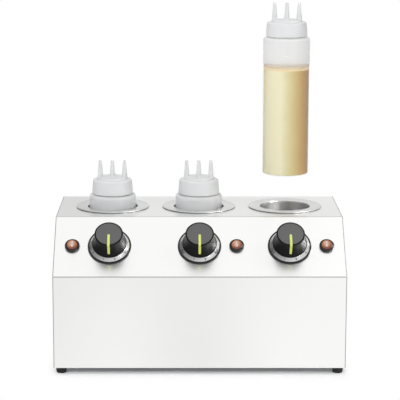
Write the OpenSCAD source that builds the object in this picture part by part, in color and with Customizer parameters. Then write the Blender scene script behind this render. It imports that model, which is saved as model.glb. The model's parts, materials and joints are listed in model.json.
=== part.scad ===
// Warmer for three squeeze bottles of sauce: a cabinet of folded sheet steel with three heated
// wells in its deck, and a thermostat dial and a lit rocker switch for each well on its slope.
// Origin: middle of the cabinet's footprint, on the surface that the feet stand on.
// +X is the right-hand side as seen from the front, -Y is the front and +Z is up.

/* [Cabinet] */
// Width of the cabinet
body_w = 420; // [404:1:480]
// Depth of the cabinet
body_d = 232; // [222:1:280]
// Height of the cabinet from its bottom edge to the deck
shell_h = 206; // [198:1:240]
// Height of the seam under the control slope, from the bottom edge
seam_h = 135; // [125:1:145]
// Depth of the control slope, measured level
slope_run = 78; // [70:1:90]
// Thickness of the sheet steel
sheet_t = 1; // [0.8:0.1:1.5]
// Inside radius of the fold between the slope and the deck
fold_r = 2.5; // [1:0.5:5]
// Gap that shows as a dark line under the control slope
seam_gap = 0.8; // [0.4:0.1:1.5]
// Width of the flanges folded inwards along the panels' edges
flange_w = 16; // [14:1:20]
// Margin between a side of the cabinet and the bay of an outer well
side_margin = 15; // [10:1:25]

/* [Vents] */
// Width of one vent slot
vent_w = 3; // [2:0.5:5]
// Length of one vent slot
vent_l = 34; // [20:1:40]
// Distance between neighbouring vent slots
vent_step = 8; // [7:0.5:10]
// Slots in each group
vent_count = 9; // [5:1:10]

/* [Feet] */
// Height of a foot
foot_h = 9; // [8:0.5:14]
// Diameter of a foot where it meets the base
foot_top_d = 16.6; // [15:0.2:18]
// Diameter of a foot where it meets the table
foot_low_d = 14.4; // [13:0.2:15]
// Rounding of a foot's lower edge
foot_round = 1; // [0.5:0.1:1.5]
// Distance from the cabinet's sides to a foot's centre
foot_inset = 10.5; // [9.5:0.5:12]
// Depth of the recess that hides a foot's screw head
foot_recess = 5; // [3.5:0.5:6]

/* [Wells] */
// Inside diameter of a well
well_d = 75; // [72:1:80]
// Depth of a well from the top of its flange to its floor
well_depth = 188; // [176:1:192]
// Thickness of a well's drawn sheet
well_t = 1; // [0.8:0.1:1.2]
// Radius between a well's wall and its floor
well_corner_r = 6; // [3:1:10]
// Radius of the rolled rim at a well's mouth
rim_r = 3; // [2.5:0.5:4]
// Diameter of the flange around a well
flange_d = 110; // [106:1:116]
// Diameter at which the flange starts to dish towards the well
dish_d = 100; // [97:1:102]
// Depth of that dish
dish_h = 0.7; // [0.2:0.1:0.8]
// Thickness of the seal between the flange and the deck
seal_t = 1; // [0.9:0.1:2]

/* [Heaters] */
// Height of a heater band
heater_h = 60; // [40:1:64]
// Thickness of a heater band
heater_t = 3; // [2:0.5:5]
// Height of a heater band's lower edge above the well's floor
heater_low = 12; // [5:1:16]
// Length of the clamping ears on a heater band
heater_ear = 10; // [9:1:14]
// Gap between the clamping ears
heater_gap = 6; // [4:1:10]

/* [Thermostats] */
// Width of a thermostat's case
thermo_w = 42; // [36:1:50]
// Height of a thermostat's case along the slope
thermo_h = 34; // [34:1:44]
// Depth of a thermostat's case behind the slope
thermo_depth = 26; // [20:1:30]
// Distance between the two screws that hold a thermostat
thermo_screws = 28; // [25:1:30]
// Diameter of the bush around the shaft
bush_d = 10; // [9:0.5:12]
// Diameter of the shaft
shaft_d = 6; // [5:0.5:7]
// Depth of the flat on the shaft
shaft_flat = 1.2; // [0.8:0.1:1.6]
// Diameter of the capillary tube
capillary_d = 2; // [1.5:0.1:2.5]
// Diameter of the sensing bulb
bulb_d = 6.4; // [5:0.2:8]
// Length of the sensing bulb
bulb_h = 60; // [40:1:64]
// Height of the sensing bulb's lower end above the well's floor
bulb_low = 82; // [82:1:90]

/* [Dials] */
// Diameter of the black rim around a dial
rim_d = 63; // [61:0.5:66]
// Height of the black rim
rim_h = 2.2; // [1.6:0.1:3]
// Outer diameter of the silver scale ring
scale_d = 60; // [58:0.5:60.5]
// Inner diameter of the silver scale ring's bevel
scale_inner_d = 49; // [48.5:0.5:52]
// Height of the silver scale ring's inner edge above the slope
scale_h = 6.6; // [5.5:0.1:8]
// Diameter of the opening inside the rim and the ring
dial_hole_d = 42; // [40:0.5:44]

/* [Knobs] */
// Diameter of a knob's flared foot
knob_foot_d = 48.6; // [46:0.2:49]
// Diameter of a knob's cap
knob_cap_d = 41; // [38:0.5:43]
// Height of a knob's cap above the slope
knob_top = 30; // [26:0.5:36]
// Height of the straight band under the cap
knob_band = 3.2; // [2:0.2:5]
// Bevel around the cap
knob_bevel = 0.7; // [0.3:0.1:1.2]
// Wall of a knob
knob_wall = 2.4; // [1.8:0.1:3]
// Diameter of the boss that holds the shaft
knob_boss_d = 12; // [10:0.5:14]
// Gap between a knob and the scale ring
knob_gap = 0.4; // [0.3:0.1:1]
// Width of the pointer
pointer_w = 4; // [2:0.2:6]
// Depth to which the pointer is let into the knob
pointer_sink = 0.6; // [0.4:0.1:1]
// Height by which the pointer stands proud of the knob
pointer_proud = 0.3; // [0.1:0.1:0.5]

/* [Switches] */
// Distance from a side of the cabinet to the outer switch's centre
switch_edge = 26.25; // [25:0.25:30]
// Diameter of a switch's bezel
bezel_d = 21.6; // [21:0.2:24]
// Height of a switch's bezel
bezel_h = 4; // [3:0.2:5]
// Diameter of a switch's barrel
barrel_d = 19.6; // [19:0.1:20]
// Length of a switch's barrel behind the slope
barrel_l = 18; // [14:1:24]
// Diameter of a rocker
rocker_d = 16.8; // [16:0.1:17.2]
// Angle by which a rocker leans to either side
rocker_tilt = 7; // [4:1:8]
// Height of a rocker's pivot above the slope
rocker_pivot_h = 1.2; // [1:0.1:2]
// Height of a rocker's waist above its pivot
rocker_waist = 3; // [2.5:0.1:3.5]

/* [Bottles] */
// Diameter of a bottle
bottle_d = 70; // [66:0.5:71]
// Height of a bottle's shoulder
bottle_shoulder_h = 205.5; // [195:0.5:225]
// Wall of a bottle
bottle_wall = 1.2; // [1:0.1:1.6]
// Rounding of a bottle's shoulder
shoulder_r = 4; // [3:0.5:6]
// Rounding of a bottle's lower edge
heel_r = 3; // [2.5:0.5:5]
// Outside diameter of a bottle's neck over its thread
neck_d = 54.8; // [52:0.2:56]
// Depth of the thread on a neck
thread_depth = 0.8; // [0.5:0.1:1]
// Height by which the third bottle is held above its well
bottle_lift = 236.5; // [200:0.5:260]
// Height of the sauce in the third bottle
sauce_h = 158; // [60:1:190]

/* [Bottle caps] */
// Diameter of a cap at its lower edge
cap_low_d = 61.6; // [60:0.2:64]
// Diameter of a cap at its top
cap_top_d = 58.4; // [58:0.2:60]
// Height of a cap without its nozzles
cap_h = 21; // [19:0.5:26]
// Wall of a cap
cap_wall = 1.4; // [1.2:0.1:1.6]
// Gap between a cap and a bottle's shoulder
cap_gap = 1.5; // [0.5:0.1:2.5]
// Rounding of a cap's upper edge
cap_round = 2.5; // [1.5:0.5:3]
// Diameter of the raised disc on a cap
disc_d = 45; // [44:0.5:46]
// Height of the raised disc
disc_h = 3.4; // [2:0.2:5]
// Distance between neighbouring nozzles
nozzle_step = 18.2; // [14:0.2:18.6]
// Height of a nozzle above the raised disc
nozzle_h = 24.6; // [16:0.2:34]
// Diameter of a nozzle at its root
nozzle_root_d = 8.2; // [7:0.2:9]
// Diameter of a nozzle at its tip
nozzle_tip_d = 4.4; // [4:0.2:5]
// Diameter of the hole at a nozzle's tip
nozzle_hole_d = 2.2; // [1.5:0.1:2.6]

/* [Power inlet] */
// Distance from the cabinet's right-hand side to the power inlet's centre
inlet_edge = 60; // [45:1:90]
// Height of the power inlet above the cabinet's bottom edge
inlet_z = 36; // [34:1:60]
// Width of the inlet's flange
inlet_w = 50; // [48:1:54]
// Height of the inlet's flange
inlet_h = 23; // [22:0.5:26]
// Thickness of the inlet's flange
inlet_t = 2.4; // [2:0.1:3]
// Width of the socket
socket_w = 24; // [23:0.5:25]
// Height of the socket
socket_h = 16.4; // [15.8:0.2:17]
// Depth of the socket
socket_depth = 17; // [15:0.5:18]
// Wall of the socket
socket_wall = 1.6; // [1.2:0.1:2]
// Distance between the inlet's two screws
inlet_screws = 40; // [38:0.5:41]

/* [Fasteners] */
// Diameter of the machine screws
screw_d = 4; // [3:0.5:4]
// Diameter of a screw's head
screw_head_d = 7.6; // [6:0.2:8]
// Height of a screw's head
screw_head_h = 2.2; // [1.5:0.1:2.6]
// Width of a nut across its flats
nut_w = 7; // [6:0.5:8]
// Height of a nut
nut_h = 3.2; // [2.4:0.1:4]

/* [Hidden] */
$fn = 96;
small_fn = 32;
sides = [-1, 1];
ends = [-1, 1];
columns = [-1, 0, 1];
through = 1;
cut_l = 4 * sheet_t + 2 * through;
screw_play = 0.15;
running_play = 0.05;
seat_gap = 0.3;
panel_gap = 0.5;

x_side = body_w / 2;
pitch = (body_w - 2 * side_margin) / len(columns);
switch_offset = x_side - switch_edge - pitch;
inlet_x = x_side - inlet_edge;
y_front = -body_d / 2;
y_back = body_d / 2;
z_base = foot_h;
z_deck = foot_h + shell_h;
z_seam = foot_h + seam_h;

slope_rise = shell_h - seam_h;
slope_angle = atan2(slope_rise, slope_run);
y_fold = y_front + slope_run;
y_slope = (y_front + y_fold) / 2;
z_slope = (z_seam + z_deck) / 2;
fold_steps = 8;
fold_outer_r = fold_r + sheet_t;
y_fold_centre = y_fold + fold_outer_r * tan(slope_angle / 2);
z_fold_centre = z_deck - fold_outer_r;
y_slope_inside = y_front + sheet_t / sin(slope_angle);

y_well = (y_fold + y_back) / 2;
well_r = well_d / 2;
z_flange = z_deck + seal_t + well_t;
z_rim = z_flange - dish_h;
z_floor = z_flange - well_depth;
deck_hole_r = well_r + rim_r + panel_gap;
stud_circle_r = (deck_hole_r + dish_d / 2) / 2;
stud_angles = [90, 210, 330];
stud_l = 10;
seal_edge = 0.4;

heater_r = well_r + well_t + running_play;
heater_z = z_floor + heater_low;
ear_t = 2;
bulb_r = bulb_d / 2;
bulb_y = y_well - well_r - well_t - bulb_r - running_play;
bulb_z = z_floor + bulb_low;
clip_t = 0.8;
clip_h = 10;
clip_z = bulb_z + bulb_h / 2;
capillary_out = 10;
capillary_rise = 14;
turn_swell = 1.15;
lead_in = 0.6;

bush_top = 1.5;
bush_foot_h = 3;
shaft_top = knob_top - knob_wall - panel_gap;
knob_base = scale_h + knob_gap;
flare_steps = 14;
flare_power = 1.7;
boss_lift = 1;
boss_base = knob_base + boss_lift;
pointer_start = 3;
pointer_end = 2.2;
tab_w = 6.3;
tab_t = 0.8;
tab_l = 8;

switch_sides = [-1, 1, 1];
rocker_play = 0.4;
cavity_r = rocker_d / 2 + rocker_play;
cavity_depth = 8;
rocker_low = 4;
pivot_d = 2;
pivot_l = barrel_d / 2 - panel_gap;
lug_w = 5;
lug_t = 0.8;
lug_l = 6;
bezel_round = 1.6;
bezel_steps = 6;

z_seat = z_floor + seat_gap;
bottle_raise = [0, 0, bottle_lift];
bottle_r = bottle_d / 2;
neck_r = neck_d / 2 - thread_depth;
neck_top = bottle_shoulder_h + cap_gap + cap_h - cap_wall - seat_gap;
thread_pitch = 6;
thread_h = 2.4;
arc_steps = 6;
push_up = 2;
cap_play = 0.4;
cap_inner_r = neck_d / 2 + cap_play;
cap_low = bottle_shoulder_h + cap_gap;
cap_top = cap_low + cap_h;
disc_top = cap_top + disc_h;
nozzle_top = disc_top + nozzle_h;
nozzle_wall = 1;
sauce_play = 0.05;

pin_w = 2;
pin_h = 4;
pin_side = 7;
pin_drop = 2;
pin_rise = 2;
pin_room = 6.85;
pin_short = 1.5;
inlet_back = 5;
inlet_play = 0.4;
inlet_screw_d = 3;
inlet_head_d = 5.6;
inlet_sink = inlet_screw_d / 2;
inlet_nut_w = 5.5;
inlet_nut_h = 2.4;

block_w = 36;
block_d = 20;
block_h = 15;
block_ways = 3;
block_y = y_well + well_r - block_d / 2;
block_hole_d = 5;
block_hole_depth = 6;

head_edge_h = screw_head_h * 0.6;
head_top_d = screw_head_d * 0.7;
base_screw_inset = sheet_t + flange_w / 2;
lip_screw_z = z_deck - flange_w / 2;
screw_l = 8;
vent_z = z_deck - flange_w - panel_gap - vent_l;
vent_group_x = pitch / 2;

// Points of an arc about a centre, from one angle to another
function arc(c, r, a0, a1, steps) =
    [for (i = [0:steps]) let (a = a0 + (a1 - a0) * i / steps) [c[0] + r * cos(a), c[1] + r * sin(a)]];

// Place of a well, a dial or a bottle, counted from the left
function column_x(i) = columns[i] * pitch;
function switch_x(i) = column_x(i) + switch_sides[i] * switch_offset;

// A point given across the slope, up the slope and out of it
function slope_point(x, up, out) = [
    x,
    y_slope + up * cos(slope_angle) - out * sin(slope_angle),
    z_slope + up * sin(slope_angle) + out * cos(slope_angle)
];

// Radius of a knob's flare at a height
function flare_r(h) = let (f = (knob_top - knob_band - h) / (knob_top - knob_band - knob_base))
    knob_cap_d / 2 + (knob_foot_d - knob_cap_d) / 2 * pow(f, flare_power);

// Outline of a knob, larger than the knob by a margin
function knob_outline(margin) = concat(
    [[0, knob_base]],
    [for (i = [0:flare_steps])
        let (h = knob_base + (knob_top - knob_band - knob_base) * i / flare_steps)
        [flare_r(h) + margin, h]],
    [[knob_cap_d / 2 + margin, knob_top - knob_bevel]],
    [[knob_cap_d / 2 - knob_bevel + margin, knob_top + margin], [0, knob_top + margin]]
);

// Carries an outline drawn as depth and height across the cabinet
module across(w) {
    rotate([90, 0, 90]) linear_extrude(w, center = true) children();
}

// Puts a piece on the control slope, with its own +Z out of the slope
module on_slope(x) {
    translate([x, y_slope, z_slope]) rotate([slope_angle, 0, 0]) children();
}

module block(low, high) {
    translate(low) cube(high - low);
}

module both_sides() {
    children();
    mirror([1, 0, 0]) children();
}

// A tube of round section through points, with a ball at each turn
module tube_through(points, d) {
    for (i = [0:len(points) - 2]) {
        v = points[i + 1] - points[i];
        l = norm(v);
        translate(points[i]) rotate([0, acos(v[2] / l), atan2(v[1], v[0])])
            cylinder(d = d, h = l, $fn = small_fn);
        if (i > 0) translate(points[i]) sphere(d = d * turn_swell, $fn = small_fn);
    }
}

// A pan-head screw with its head above z = 0 and its shank below
module pan_screw(l) {
    cylinder(d = screw_head_d, h = head_edge_h, $fn = small_fn);
    translate([0, 0, head_edge_h])
        cylinder(d1 = screw_head_d, d2 = head_top_d, h = screw_head_h - head_edge_h, $fn = small_fn);
    translate([0, 0, -l]) cylinder(d = screw_d, h = l, $fn = small_fn);
}

module screw_hole(h) {
    cylinder(d = screw_d + 2 * screw_play, h = h, center = true, $fn = small_fn);
}

module nut() {
    difference() {
        cylinder(d = nut_w / cos(30), h = nut_h, $fn = 6);
        translate([0, 0, -through])
            cylinder(d = screw_d + 2 * running_play, h = nut_h + 2 * through, $fn = small_fn);
    }
}

module at_feet() {
    for (sx = sides, sy = ends)
        translate([sx * (x_side - foot_inset), sy * (body_d / 2 - foot_inset), 0]) children();
}

module at_base_screws() {
    for (i = [0:2], sy = ends)
        translate([column_x(i), sy * (body_d / 2 - base_screw_inset), z_base]) children();
    for (sx = sides) translate([sx * (x_side - base_screw_inset), 0, z_base]) children();
}

module at_lip_screws() {
    for (i = [0:2]) translate([column_x(i), y_back, lip_screw_z]) rotate([-90, 0, 0]) children();
}

module at_studs() {
    for (i = [0:2], a = stud_angles)
        translate([column_x(i) + stud_circle_r * cos(a), y_well + stud_circle_r * sin(a), 0]) children();
}

// Cabinet

module side_sheet() {
    difference() {
        union() {
            translate([x_side - sheet_t / 2, 0, 0]) across(sheet_t) polygon(concat(
                [[y_front + sheet_t, z_base], [y_back - sheet_t, z_base]],
                [[y_back - sheet_t, z_deck - sheet_t]],
                arc([y_fold_centre, z_fold_centre], fold_r, 90, 90 + slope_angle, fold_steps),
                [[y_slope_inside, z_seam], [y_front + sheet_t, z_seam]]
            ));
            block([x_side - sheet_t - flange_w, y_front + sheet_t, z_base + sheet_t],
                  [x_side - sheet_t, y_back - sheet_t, z_base + 2 * sheet_t]);
        }
        at_feet() translate([0, 0, z_base]) screw_hole(cut_l);
        at_base_screws() screw_hole(cut_l);
    }
}

module side_panel_left() {
    color("gainsboro") mirror([1, 0, 0]) side_sheet();
}

module side_panel_right() {
    color("gainsboro") side_sheet();
}

module top_panel() {
    lip_w = body_w - 4 * sheet_t - 2 * panel_gap;
    color("whitesmoke") difference() {
        union() {
            across(body_w) polygon(concat(
                [[y_slope_inside, z_seam], [y_front, z_seam]],
                arc([y_fold_centre, z_fold_centre], fold_outer_r, 90 + slope_angle, 90, fold_steps),
                [[y_back, z_deck], [y_back, z_deck - sheet_t]],
                arc([y_fold_centre, z_fold_centre], fold_r, 90, 90 + slope_angle, fold_steps)
            ));
            across(lip_w) polygon([
                [y_front + sheet_t, z_seam], [y_front + sheet_t, z_seam - flange_w],
                [y_front + 2 * sheet_t, z_seam - flange_w],
                [y_front + 2 * sheet_t, z_seam + sheet_t * tan(slope_angle)],
                [y_front + sheet_t, z_seam + sheet_t * tan(slope_angle) / 2]
            ]);
            block([-lip_w / 2, y_back - 2 * sheet_t, z_deck - flange_w],
                  [lip_w / 2, y_back - sheet_t, z_deck - sheet_t / 2]);
            both_sides() block([x_side - 2 * sheet_t, y_fold + flange_w, z_deck - flange_w],
                               [x_side - sheet_t, y_back - 2 * sheet_t - panel_gap, z_deck - sheet_t / 2]);
        }
        for (i = [0:2]) {
            translate([column_x(i), y_well, z_deck]) cylinder(r = deck_hole_r, h = cut_l, center = true);
            on_slope(column_x(i)) {
                cylinder(d = bush_d + 2 * screw_play, h = cut_l, center = true);
                for (s = sides) translate([s * thermo_screws / 2, 0, 0]) screw_hole(cut_l);
            }
            on_slope(switch_x(i)) cylinder(d = barrel_d + 2 * screw_play, h = cut_l, center = true);
        }
        at_studs() translate([0, 0, z_deck]) screw_hole(cut_l);
        at_lip_screws() screw_hole(cut_l);
    }
}

module front_panel() {
    x_return = x_side - sheet_t;
    x_floor = x_side - sheet_t - flange_w - panel_gap;
    color("whitesmoke") difference() {
        union() {
            block([-x_side, y_front, z_base], [x_side, y_front + sheet_t, z_seam - seam_gap]);
            both_sides() block(
                [x_return - sheet_t, y_front + sheet_t / 2, z_base + 2 * sheet_t + panel_gap],
                [x_return, y_front + sheet_t + flange_w, z_seam - flange_w - panel_gap]);
            block([-x_floor, y_front + sheet_t / 2, z_base + sheet_t],
                  [x_floor, y_front + sheet_t + flange_w, z_base + 2 * sheet_t]);
        }
        at_base_screws() screw_hole(cut_l);
    }
}

module vent_slots(w, l) {
    for (k = [0:vent_count - 1])
        translate([(k - (vent_count - 1) / 2) * vent_step, 0, 0]) {
            for (s = ends) translate([0, s * (l - w) / 2, 0])
                cylinder(d = w, h = cut_l, center = true, $fn = small_fn);
            cube([w, l - w, cut_l], center = true);
        }
}

module at_inlet_screws() {
    for (s = sides) translate([inlet_x + s * inlet_screws / 2, y_back, z_base + inlet_z])
        rotate([-90, 0, 0]) children();
}

module rear_panel() {
    x_return = x_side - sheet_t;
    x_floor = x_side - sheet_t - flange_w - panel_gap;
    cut_w = socket_w + 2 * socket_wall + 2 * inlet_play;
    cut_h = socket_h + 2 * socket_wall + 2 * inlet_play;
    color("gainsboro") difference() {
        union() {
            block([-x_side, y_back - sheet_t, z_base], [x_side, y_back, z_deck - sheet_t]);
            both_sides() block(
                [x_return - sheet_t, y_back - sheet_t - flange_w, z_base + 2 * sheet_t + panel_gap],
                [x_return, y_back - sheet_t / 2, z_deck - flange_w - panel_gap]);
            block([-x_floor, y_back - sheet_t - flange_w, z_base + sheet_t],
                  [x_floor, y_back - sheet_t / 2, z_base + 2 * sheet_t]);
        }
        at_base_screws() screw_hole(cut_l);
        at_lip_screws() screw_hole(cut_l);
        at_inlet_screws()
            cylinder(d = inlet_screw_d + 2 * screw_play, h = cut_l, center = true, $fn = small_fn);
        translate([inlet_x, y_back, z_base + inlet_z]) cube([cut_w, cut_l, cut_h], center = true);
        for (s = sides) translate([s * vent_group_x, y_back, vent_z + vent_l / 2])
            rotate([90, 0, 0]) vent_slots(vent_w, vent_l);
    }
}

module base_plate() {
    color("silver") difference() {
        block([-x_side + sheet_t, y_front + sheet_t, z_base],
              [x_side - sheet_t, y_back - sheet_t, z_base + sheet_t]);
        at_feet() translate([0, 0, z_base]) screw_hole(cut_l);
        at_base_screws() screw_hole(cut_l);
        for (s = sides) translate([s * vent_group_x, y_slope, z_base]) vent_slots(vent_w, vent_l);
    }
}

// Wells

module well(i) {
    corner = well_corner_r + well_t;
    edge_w = well_t * 2 / 3;
    edge_h = well_t / 3;
    stud_low = z_deck - sheet_t - stud_l;
    stud_high = z_flange - (well_t + dish_h) / 2;
    color("silver") translate([column_x(i), y_well, 0]) {
        rotate_extrude() polygon(concat(
            [[0, z_floor - well_t]],
            arc([well_r - well_corner_r, z_floor + well_corner_r], corner, -90, 0, arc_steps),
            arc([well_r + rim_r, z_rim - rim_r], rim_r - well_t, 180, 90, arc_steps),
            [[dish_d / 2, z_flange - well_t], [flange_d / 2, z_flange - well_t]],
            [[flange_d / 2, z_flange - edge_h], [flange_d / 2 - edge_w, z_flange]],
            [[dish_d / 2, z_flange]],
            arc([well_r + rim_r, z_rim - rim_r], rim_r, 90, 180, arc_steps),
            arc([well_r - well_corner_r, z_floor + well_corner_r], well_corner_r, 0, -90, arc_steps),
            [[0, z_floor]]
        ));
        for (a = stud_angles) rotate([0, 0, a]) translate([stud_circle_r, 0, stud_low])
            cylinder(d = screw_d, h = stud_high - stud_low, $fn = small_fn);
    }
}

module well_1() { well(0); }
module well_2() { well(1); }
module well_3() { well(2); }

module well_seals() {
    color("dimgray") for (i = [0:2]) translate([column_x(i), y_well, z_deck]) difference() {
        cylinder(d = flange_d - 2 * seal_edge, h = seal_t);
        translate([0, 0, -through]) cylinder(d = dish_d + 2 * seal_edge, h = seal_t + 2 * through);
    }
}

module well_nuts() {
    color("silver") at_studs() translate([0, 0, z_deck - sheet_t - nut_h]) nut();
}

// Heaters and thermostats

module heater_band(i) {
    outer_r = heater_r + heater_t;
    ear_y = -outer_r - heater_ear + heater_t / 2;
    bolt_y = ear_y + heater_ear / 2 - heater_t / 4;
    bolt_l = heater_gap + 2 * ear_t + nut_h;
    color("darkgray") translate([column_x(i), y_well, heater_z]) {
        difference() {
            union() {
                cylinder(r = outer_r, h = heater_h);
                for (s = sides) block([s * heater_gap / 2 - (s < 0 ? ear_t : 0), ear_y, 0],
                                      [s * heater_gap / 2 + (s > 0 ? ear_t : 0), -heater_r, heater_h]);
            }
            translate([0, 0, -through]) cylinder(r = heater_r, h = heater_h + 2 * through);
            block([-heater_gap / 2, -2 * outer_r, -through], [heater_gap / 2, 0, heater_h + through]);
        }
        for (f = [1 / 4, 3 / 4])
            translate([heater_gap / 2 + ear_t, bolt_y, heater_h * f]) rotate([0, 90, 0]) {
                translate([0, 0, -bolt_l]) cylinder(d = screw_d, h = bolt_l, $fn = small_fn);
                cylinder(d = screw_head_d, h = screw_head_h, $fn = small_fn);
            }
    }
}

module heater_band_1() { heater_band(0); }
module heater_band_2() { heater_band(1); }
module heater_band_3() { heater_band(2); }

module thermostat(i) {
    color("gray") on_slope(column_x(i)) translate([0, 0, -sheet_t]) difference() {
        union() {
            translate([-thermo_w / 2, -thermo_h / 2, -thermo_depth])
                cube([thermo_w, thermo_h, thermo_depth]);
            cylinder(d = bush_d, h = sheet_t + bush_top, $fn = small_fn);
            for (s = sides)
                translate([s * thermo_w / 4 - tab_w / 2, -thermo_h / 2 - tab_l, -thermo_depth / 2])
                    cube([tab_w, tab_l + tab_t, tab_t]);
        }
        translate([0, 0, -thermo_depth / 2])
            cylinder(d = shaft_d + 2 * running_play, h = thermo_depth + bush_top + sheet_t);
        for (s = sides) translate([s * thermo_screws / 2, 0, 0]) screw_hole(2 * screw_l + 2 * through);
    }
}

module thermostat_1() { thermostat(0); }
module thermostat_2() { thermostat(1); }
module thermostat_3() { thermostat(2); }

module thermostat_screws() {
    color("silver") for (i = [0:2], s = sides) on_slope(column_x(i))
        translate([s * thermo_screws / 2, 0, 0]) pan_screw(screw_l);
}

module thermostat_shaft(i) {
    low = -sheet_t - thermo_depth / 2 + panel_gap;
    color("silver") on_slope(column_x(i)) difference() {
        translate([0, 0, low]) cylinder(d = shaft_d, h = shaft_top - low);
        translate([-shaft_d, shaft_d / 2 - shaft_flat, boss_base])
            cube([2 * shaft_d, shaft_d, shaft_top - boss_base + through]);
    }
}

module thermostat_shaft_1() { thermostat_shaft(0); }
module thermostat_shaft_2() { thermostat_shaft(1); }
module thermostat_shaft_3() { thermostat_shaft(2); }

module capillary(i) {
    x = column_x(i);
    case_back = -sheet_t - thermo_depth;
    top = bulb_z + bulb_h;
    color("peru") {
        tube_through([
            slope_point(x, 0, case_back),
            slope_point(x, 0, case_back - capillary_out),
            [x, bulb_y - capillary_rise, top + capillary_rise],
            [x, bulb_y, top + capillary_rise / 2],
            [x, bulb_y, top - lead_in]
        ], capillary_d);
        translate([x, bulb_y, bulb_z]) cylinder(d = bulb_d, h = bulb_h, $fn = small_fn);
    }
}

module capillary_1() { capillary(0); }
module capillary_2() { capillary(1); }
module capillary_3() { capillary(2); }

module bulb_clips() {
    play = running_play;
    color("silver") for (i = [0:2]) translate([column_x(i), y_well, clip_z - clip_h / 2]) difference() {
        union() {
            cylinder(r = heater_r + clip_t, h = clip_h);
            translate([0, bulb_y - y_well, 0]) cylinder(r = bulb_r + play + clip_t, h = clip_h);
        }
        translate([0, 0, -through]) {
            cylinder(r = heater_r, h = clip_h + 2 * through);
            translate([0, bulb_y - y_well, 0]) cylinder(r = bulb_r + play, h = clip_h + 2 * through);
        }
    }
}

// Dials and knobs

module dial_rim(i) {
    edge = rim_h / 2;
    color("black") on_slope(column_x(i)) rotate_extrude() polygon(concat(
        [[dial_hole_d / 2, 0]],
        arc([rim_d / 2 - edge, edge], edge, -90, 90, arc_steps),
        [[dial_hole_d / 2, rim_h]]
    ));
}

module dial_rim_1() { dial_rim(0); }
module dial_rim_2() { dial_rim(1); }
module dial_rim_3() { dial_rim(2); }

module dial_scale(i) {
    color("silver") on_slope(column_x(i)) rotate_extrude() polygon([
        [dial_hole_d / 2, rim_h], [scale_d / 2, rim_h],
        [scale_inner_d / 2, scale_h], [dial_hole_d / 2, scale_h]
    ]);
}

module dial_scale_1() { dial_scale(0); }
module dial_scale_2() { dial_scale(1); }
module dial_scale_3() { dial_scale(2); }

module pointer_slab() {
    translate([0, 0, knob_base + pointer_end]) {
        translate([-pointer_w / 2, -knob_foot_d, 0])
            cube([pointer_w, knob_foot_d - pointer_start, knob_top]);
        translate([0, -pointer_start, 0]) cylinder(d = pointer_w, h = knob_top, $fn = small_fn);
    }
}

module knob(i) {
    hollow_r = knob_cap_d / 2 - knob_wall;
    bore_l = shaft_top + panel_gap - boss_base + through;
    color("black") on_slope(column_x(i)) {
        difference() {
            rotate_extrude() polygon(knob_outline(0));
            translate([0, 0, knob_base - through])
                cylinder(r = hollow_r, h = knob_top - knob_wall - knob_base + through);
            difference() {
                pointer_slab();
                rotate_extrude() polygon(knob_outline(-pointer_sink));
            }
        }
        difference() {
            translate([0, 0, boss_base])
                cylinder(d = knob_boss_d, h = knob_top - knob_wall / 2 - boss_base);
            difference() {
                translate([0, 0, boss_base - through])
                    cylinder(d = shaft_d + 2 * running_play, h = bore_l);
                translate([-shaft_d, shaft_d / 2 - shaft_flat + running_play, boss_base - 2 * through])
                    cube([2 * shaft_d, shaft_d, knob_top]);
            }
        }
    }
}

module knob_1() { knob(0); }
module knob_2() { knob(1); }
module knob_3() { knob(2); }

module knob_pointer(i) {
    color("yellowgreen") on_slope(column_x(i)) difference() {
        intersection() {
            pointer_slab();
            rotate_extrude() polygon(knob_outline(pointer_proud));
        }
        rotate_extrude() polygon(knob_outline(-pointer_sink));
    }
}

module knob_pointer_1() { knob_pointer(0); }
module knob_pointer_2() { knob_pointer(1); }
module knob_pointer_3() { knob_pointer(2); }

// Switches

module switch_body(i) {
    bezel_r = bezel_d / 2;
    barrel_r = barrel_d / 2;
    color("black") on_slope(switch_x(i)) difference() {
        union() {
            rotate_extrude() polygon(concat(
                [[0, -sheet_t - barrel_l], [barrel_r, -sheet_t - barrel_l], [barrel_r, 0], [bezel_r, 0]],
                arc([bezel_r - bezel_round, bezel_h - bezel_round], bezel_round, 0, 90, bezel_steps),
                [[0, bezel_h]]
            ));
            for (s = sides) {
                block([s * barrel_r - lug_t, -lug_w / 2, -sheet_t - lug_l],
                      [s * barrel_r + lug_t, lug_w / 2, -sheet_t]);
                translate([s * rocker_d / 4 - tab_t / 2, -tab_w / 2, -sheet_t - barrel_l - tab_l])
                    cube([tab_t, tab_w, tab_l + tab_t]);
            }
        }
        translate([0, 0, -cavity_depth]) cylinder(r = cavity_r, h = cavity_depth + bezel_h + through);
        translate([-pivot_l - running_play, 0, rocker_pivot_h]) rotate([0, 90, 0])
            cylinder(d = pivot_d + 2 * running_play, h = 2 * (pivot_l + running_play), $fn = small_fn);
    }
}

module switch_body_1() { switch_body(0); }
module switch_body_2() { switch_body(1); }
module switch_body_3() { switch_body(2); }

module switch_rocker(i) {
    reach = rocker_d / 2;
    end_rise = reach * tan(rocker_tilt);
    color("chocolate") on_slope(switch_x(i)) translate([0, 0, rocker_pivot_h]) rotate([rocker_tilt, 0, 0]) {
        intersection() {
            sphere(r = reach);
            across(rocker_d) polygon([
                [-reach, -rocker_low], [reach, -rocker_low], [reach, rocker_waist + end_rise],
                [0, rocker_waist], [-reach, rocker_waist + end_rise]
            ]);
        }
        translate([-pivot_l, 0, 0]) rotate([0, 90, 0])
            cylinder(d = pivot_d, h = 2 * pivot_l, $fn = small_fn);
    }
}

module switch_rocker_1() { switch_rocker(0); }
module switch_rocker_2() { switch_rocker(1); }
module switch_rocker_3() { switch_rocker(2); }

// Bottles

module at_bottle(i) {
    translate([column_x(i), y_well, z_seat + bottle_raise[i]]) children();
}

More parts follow.
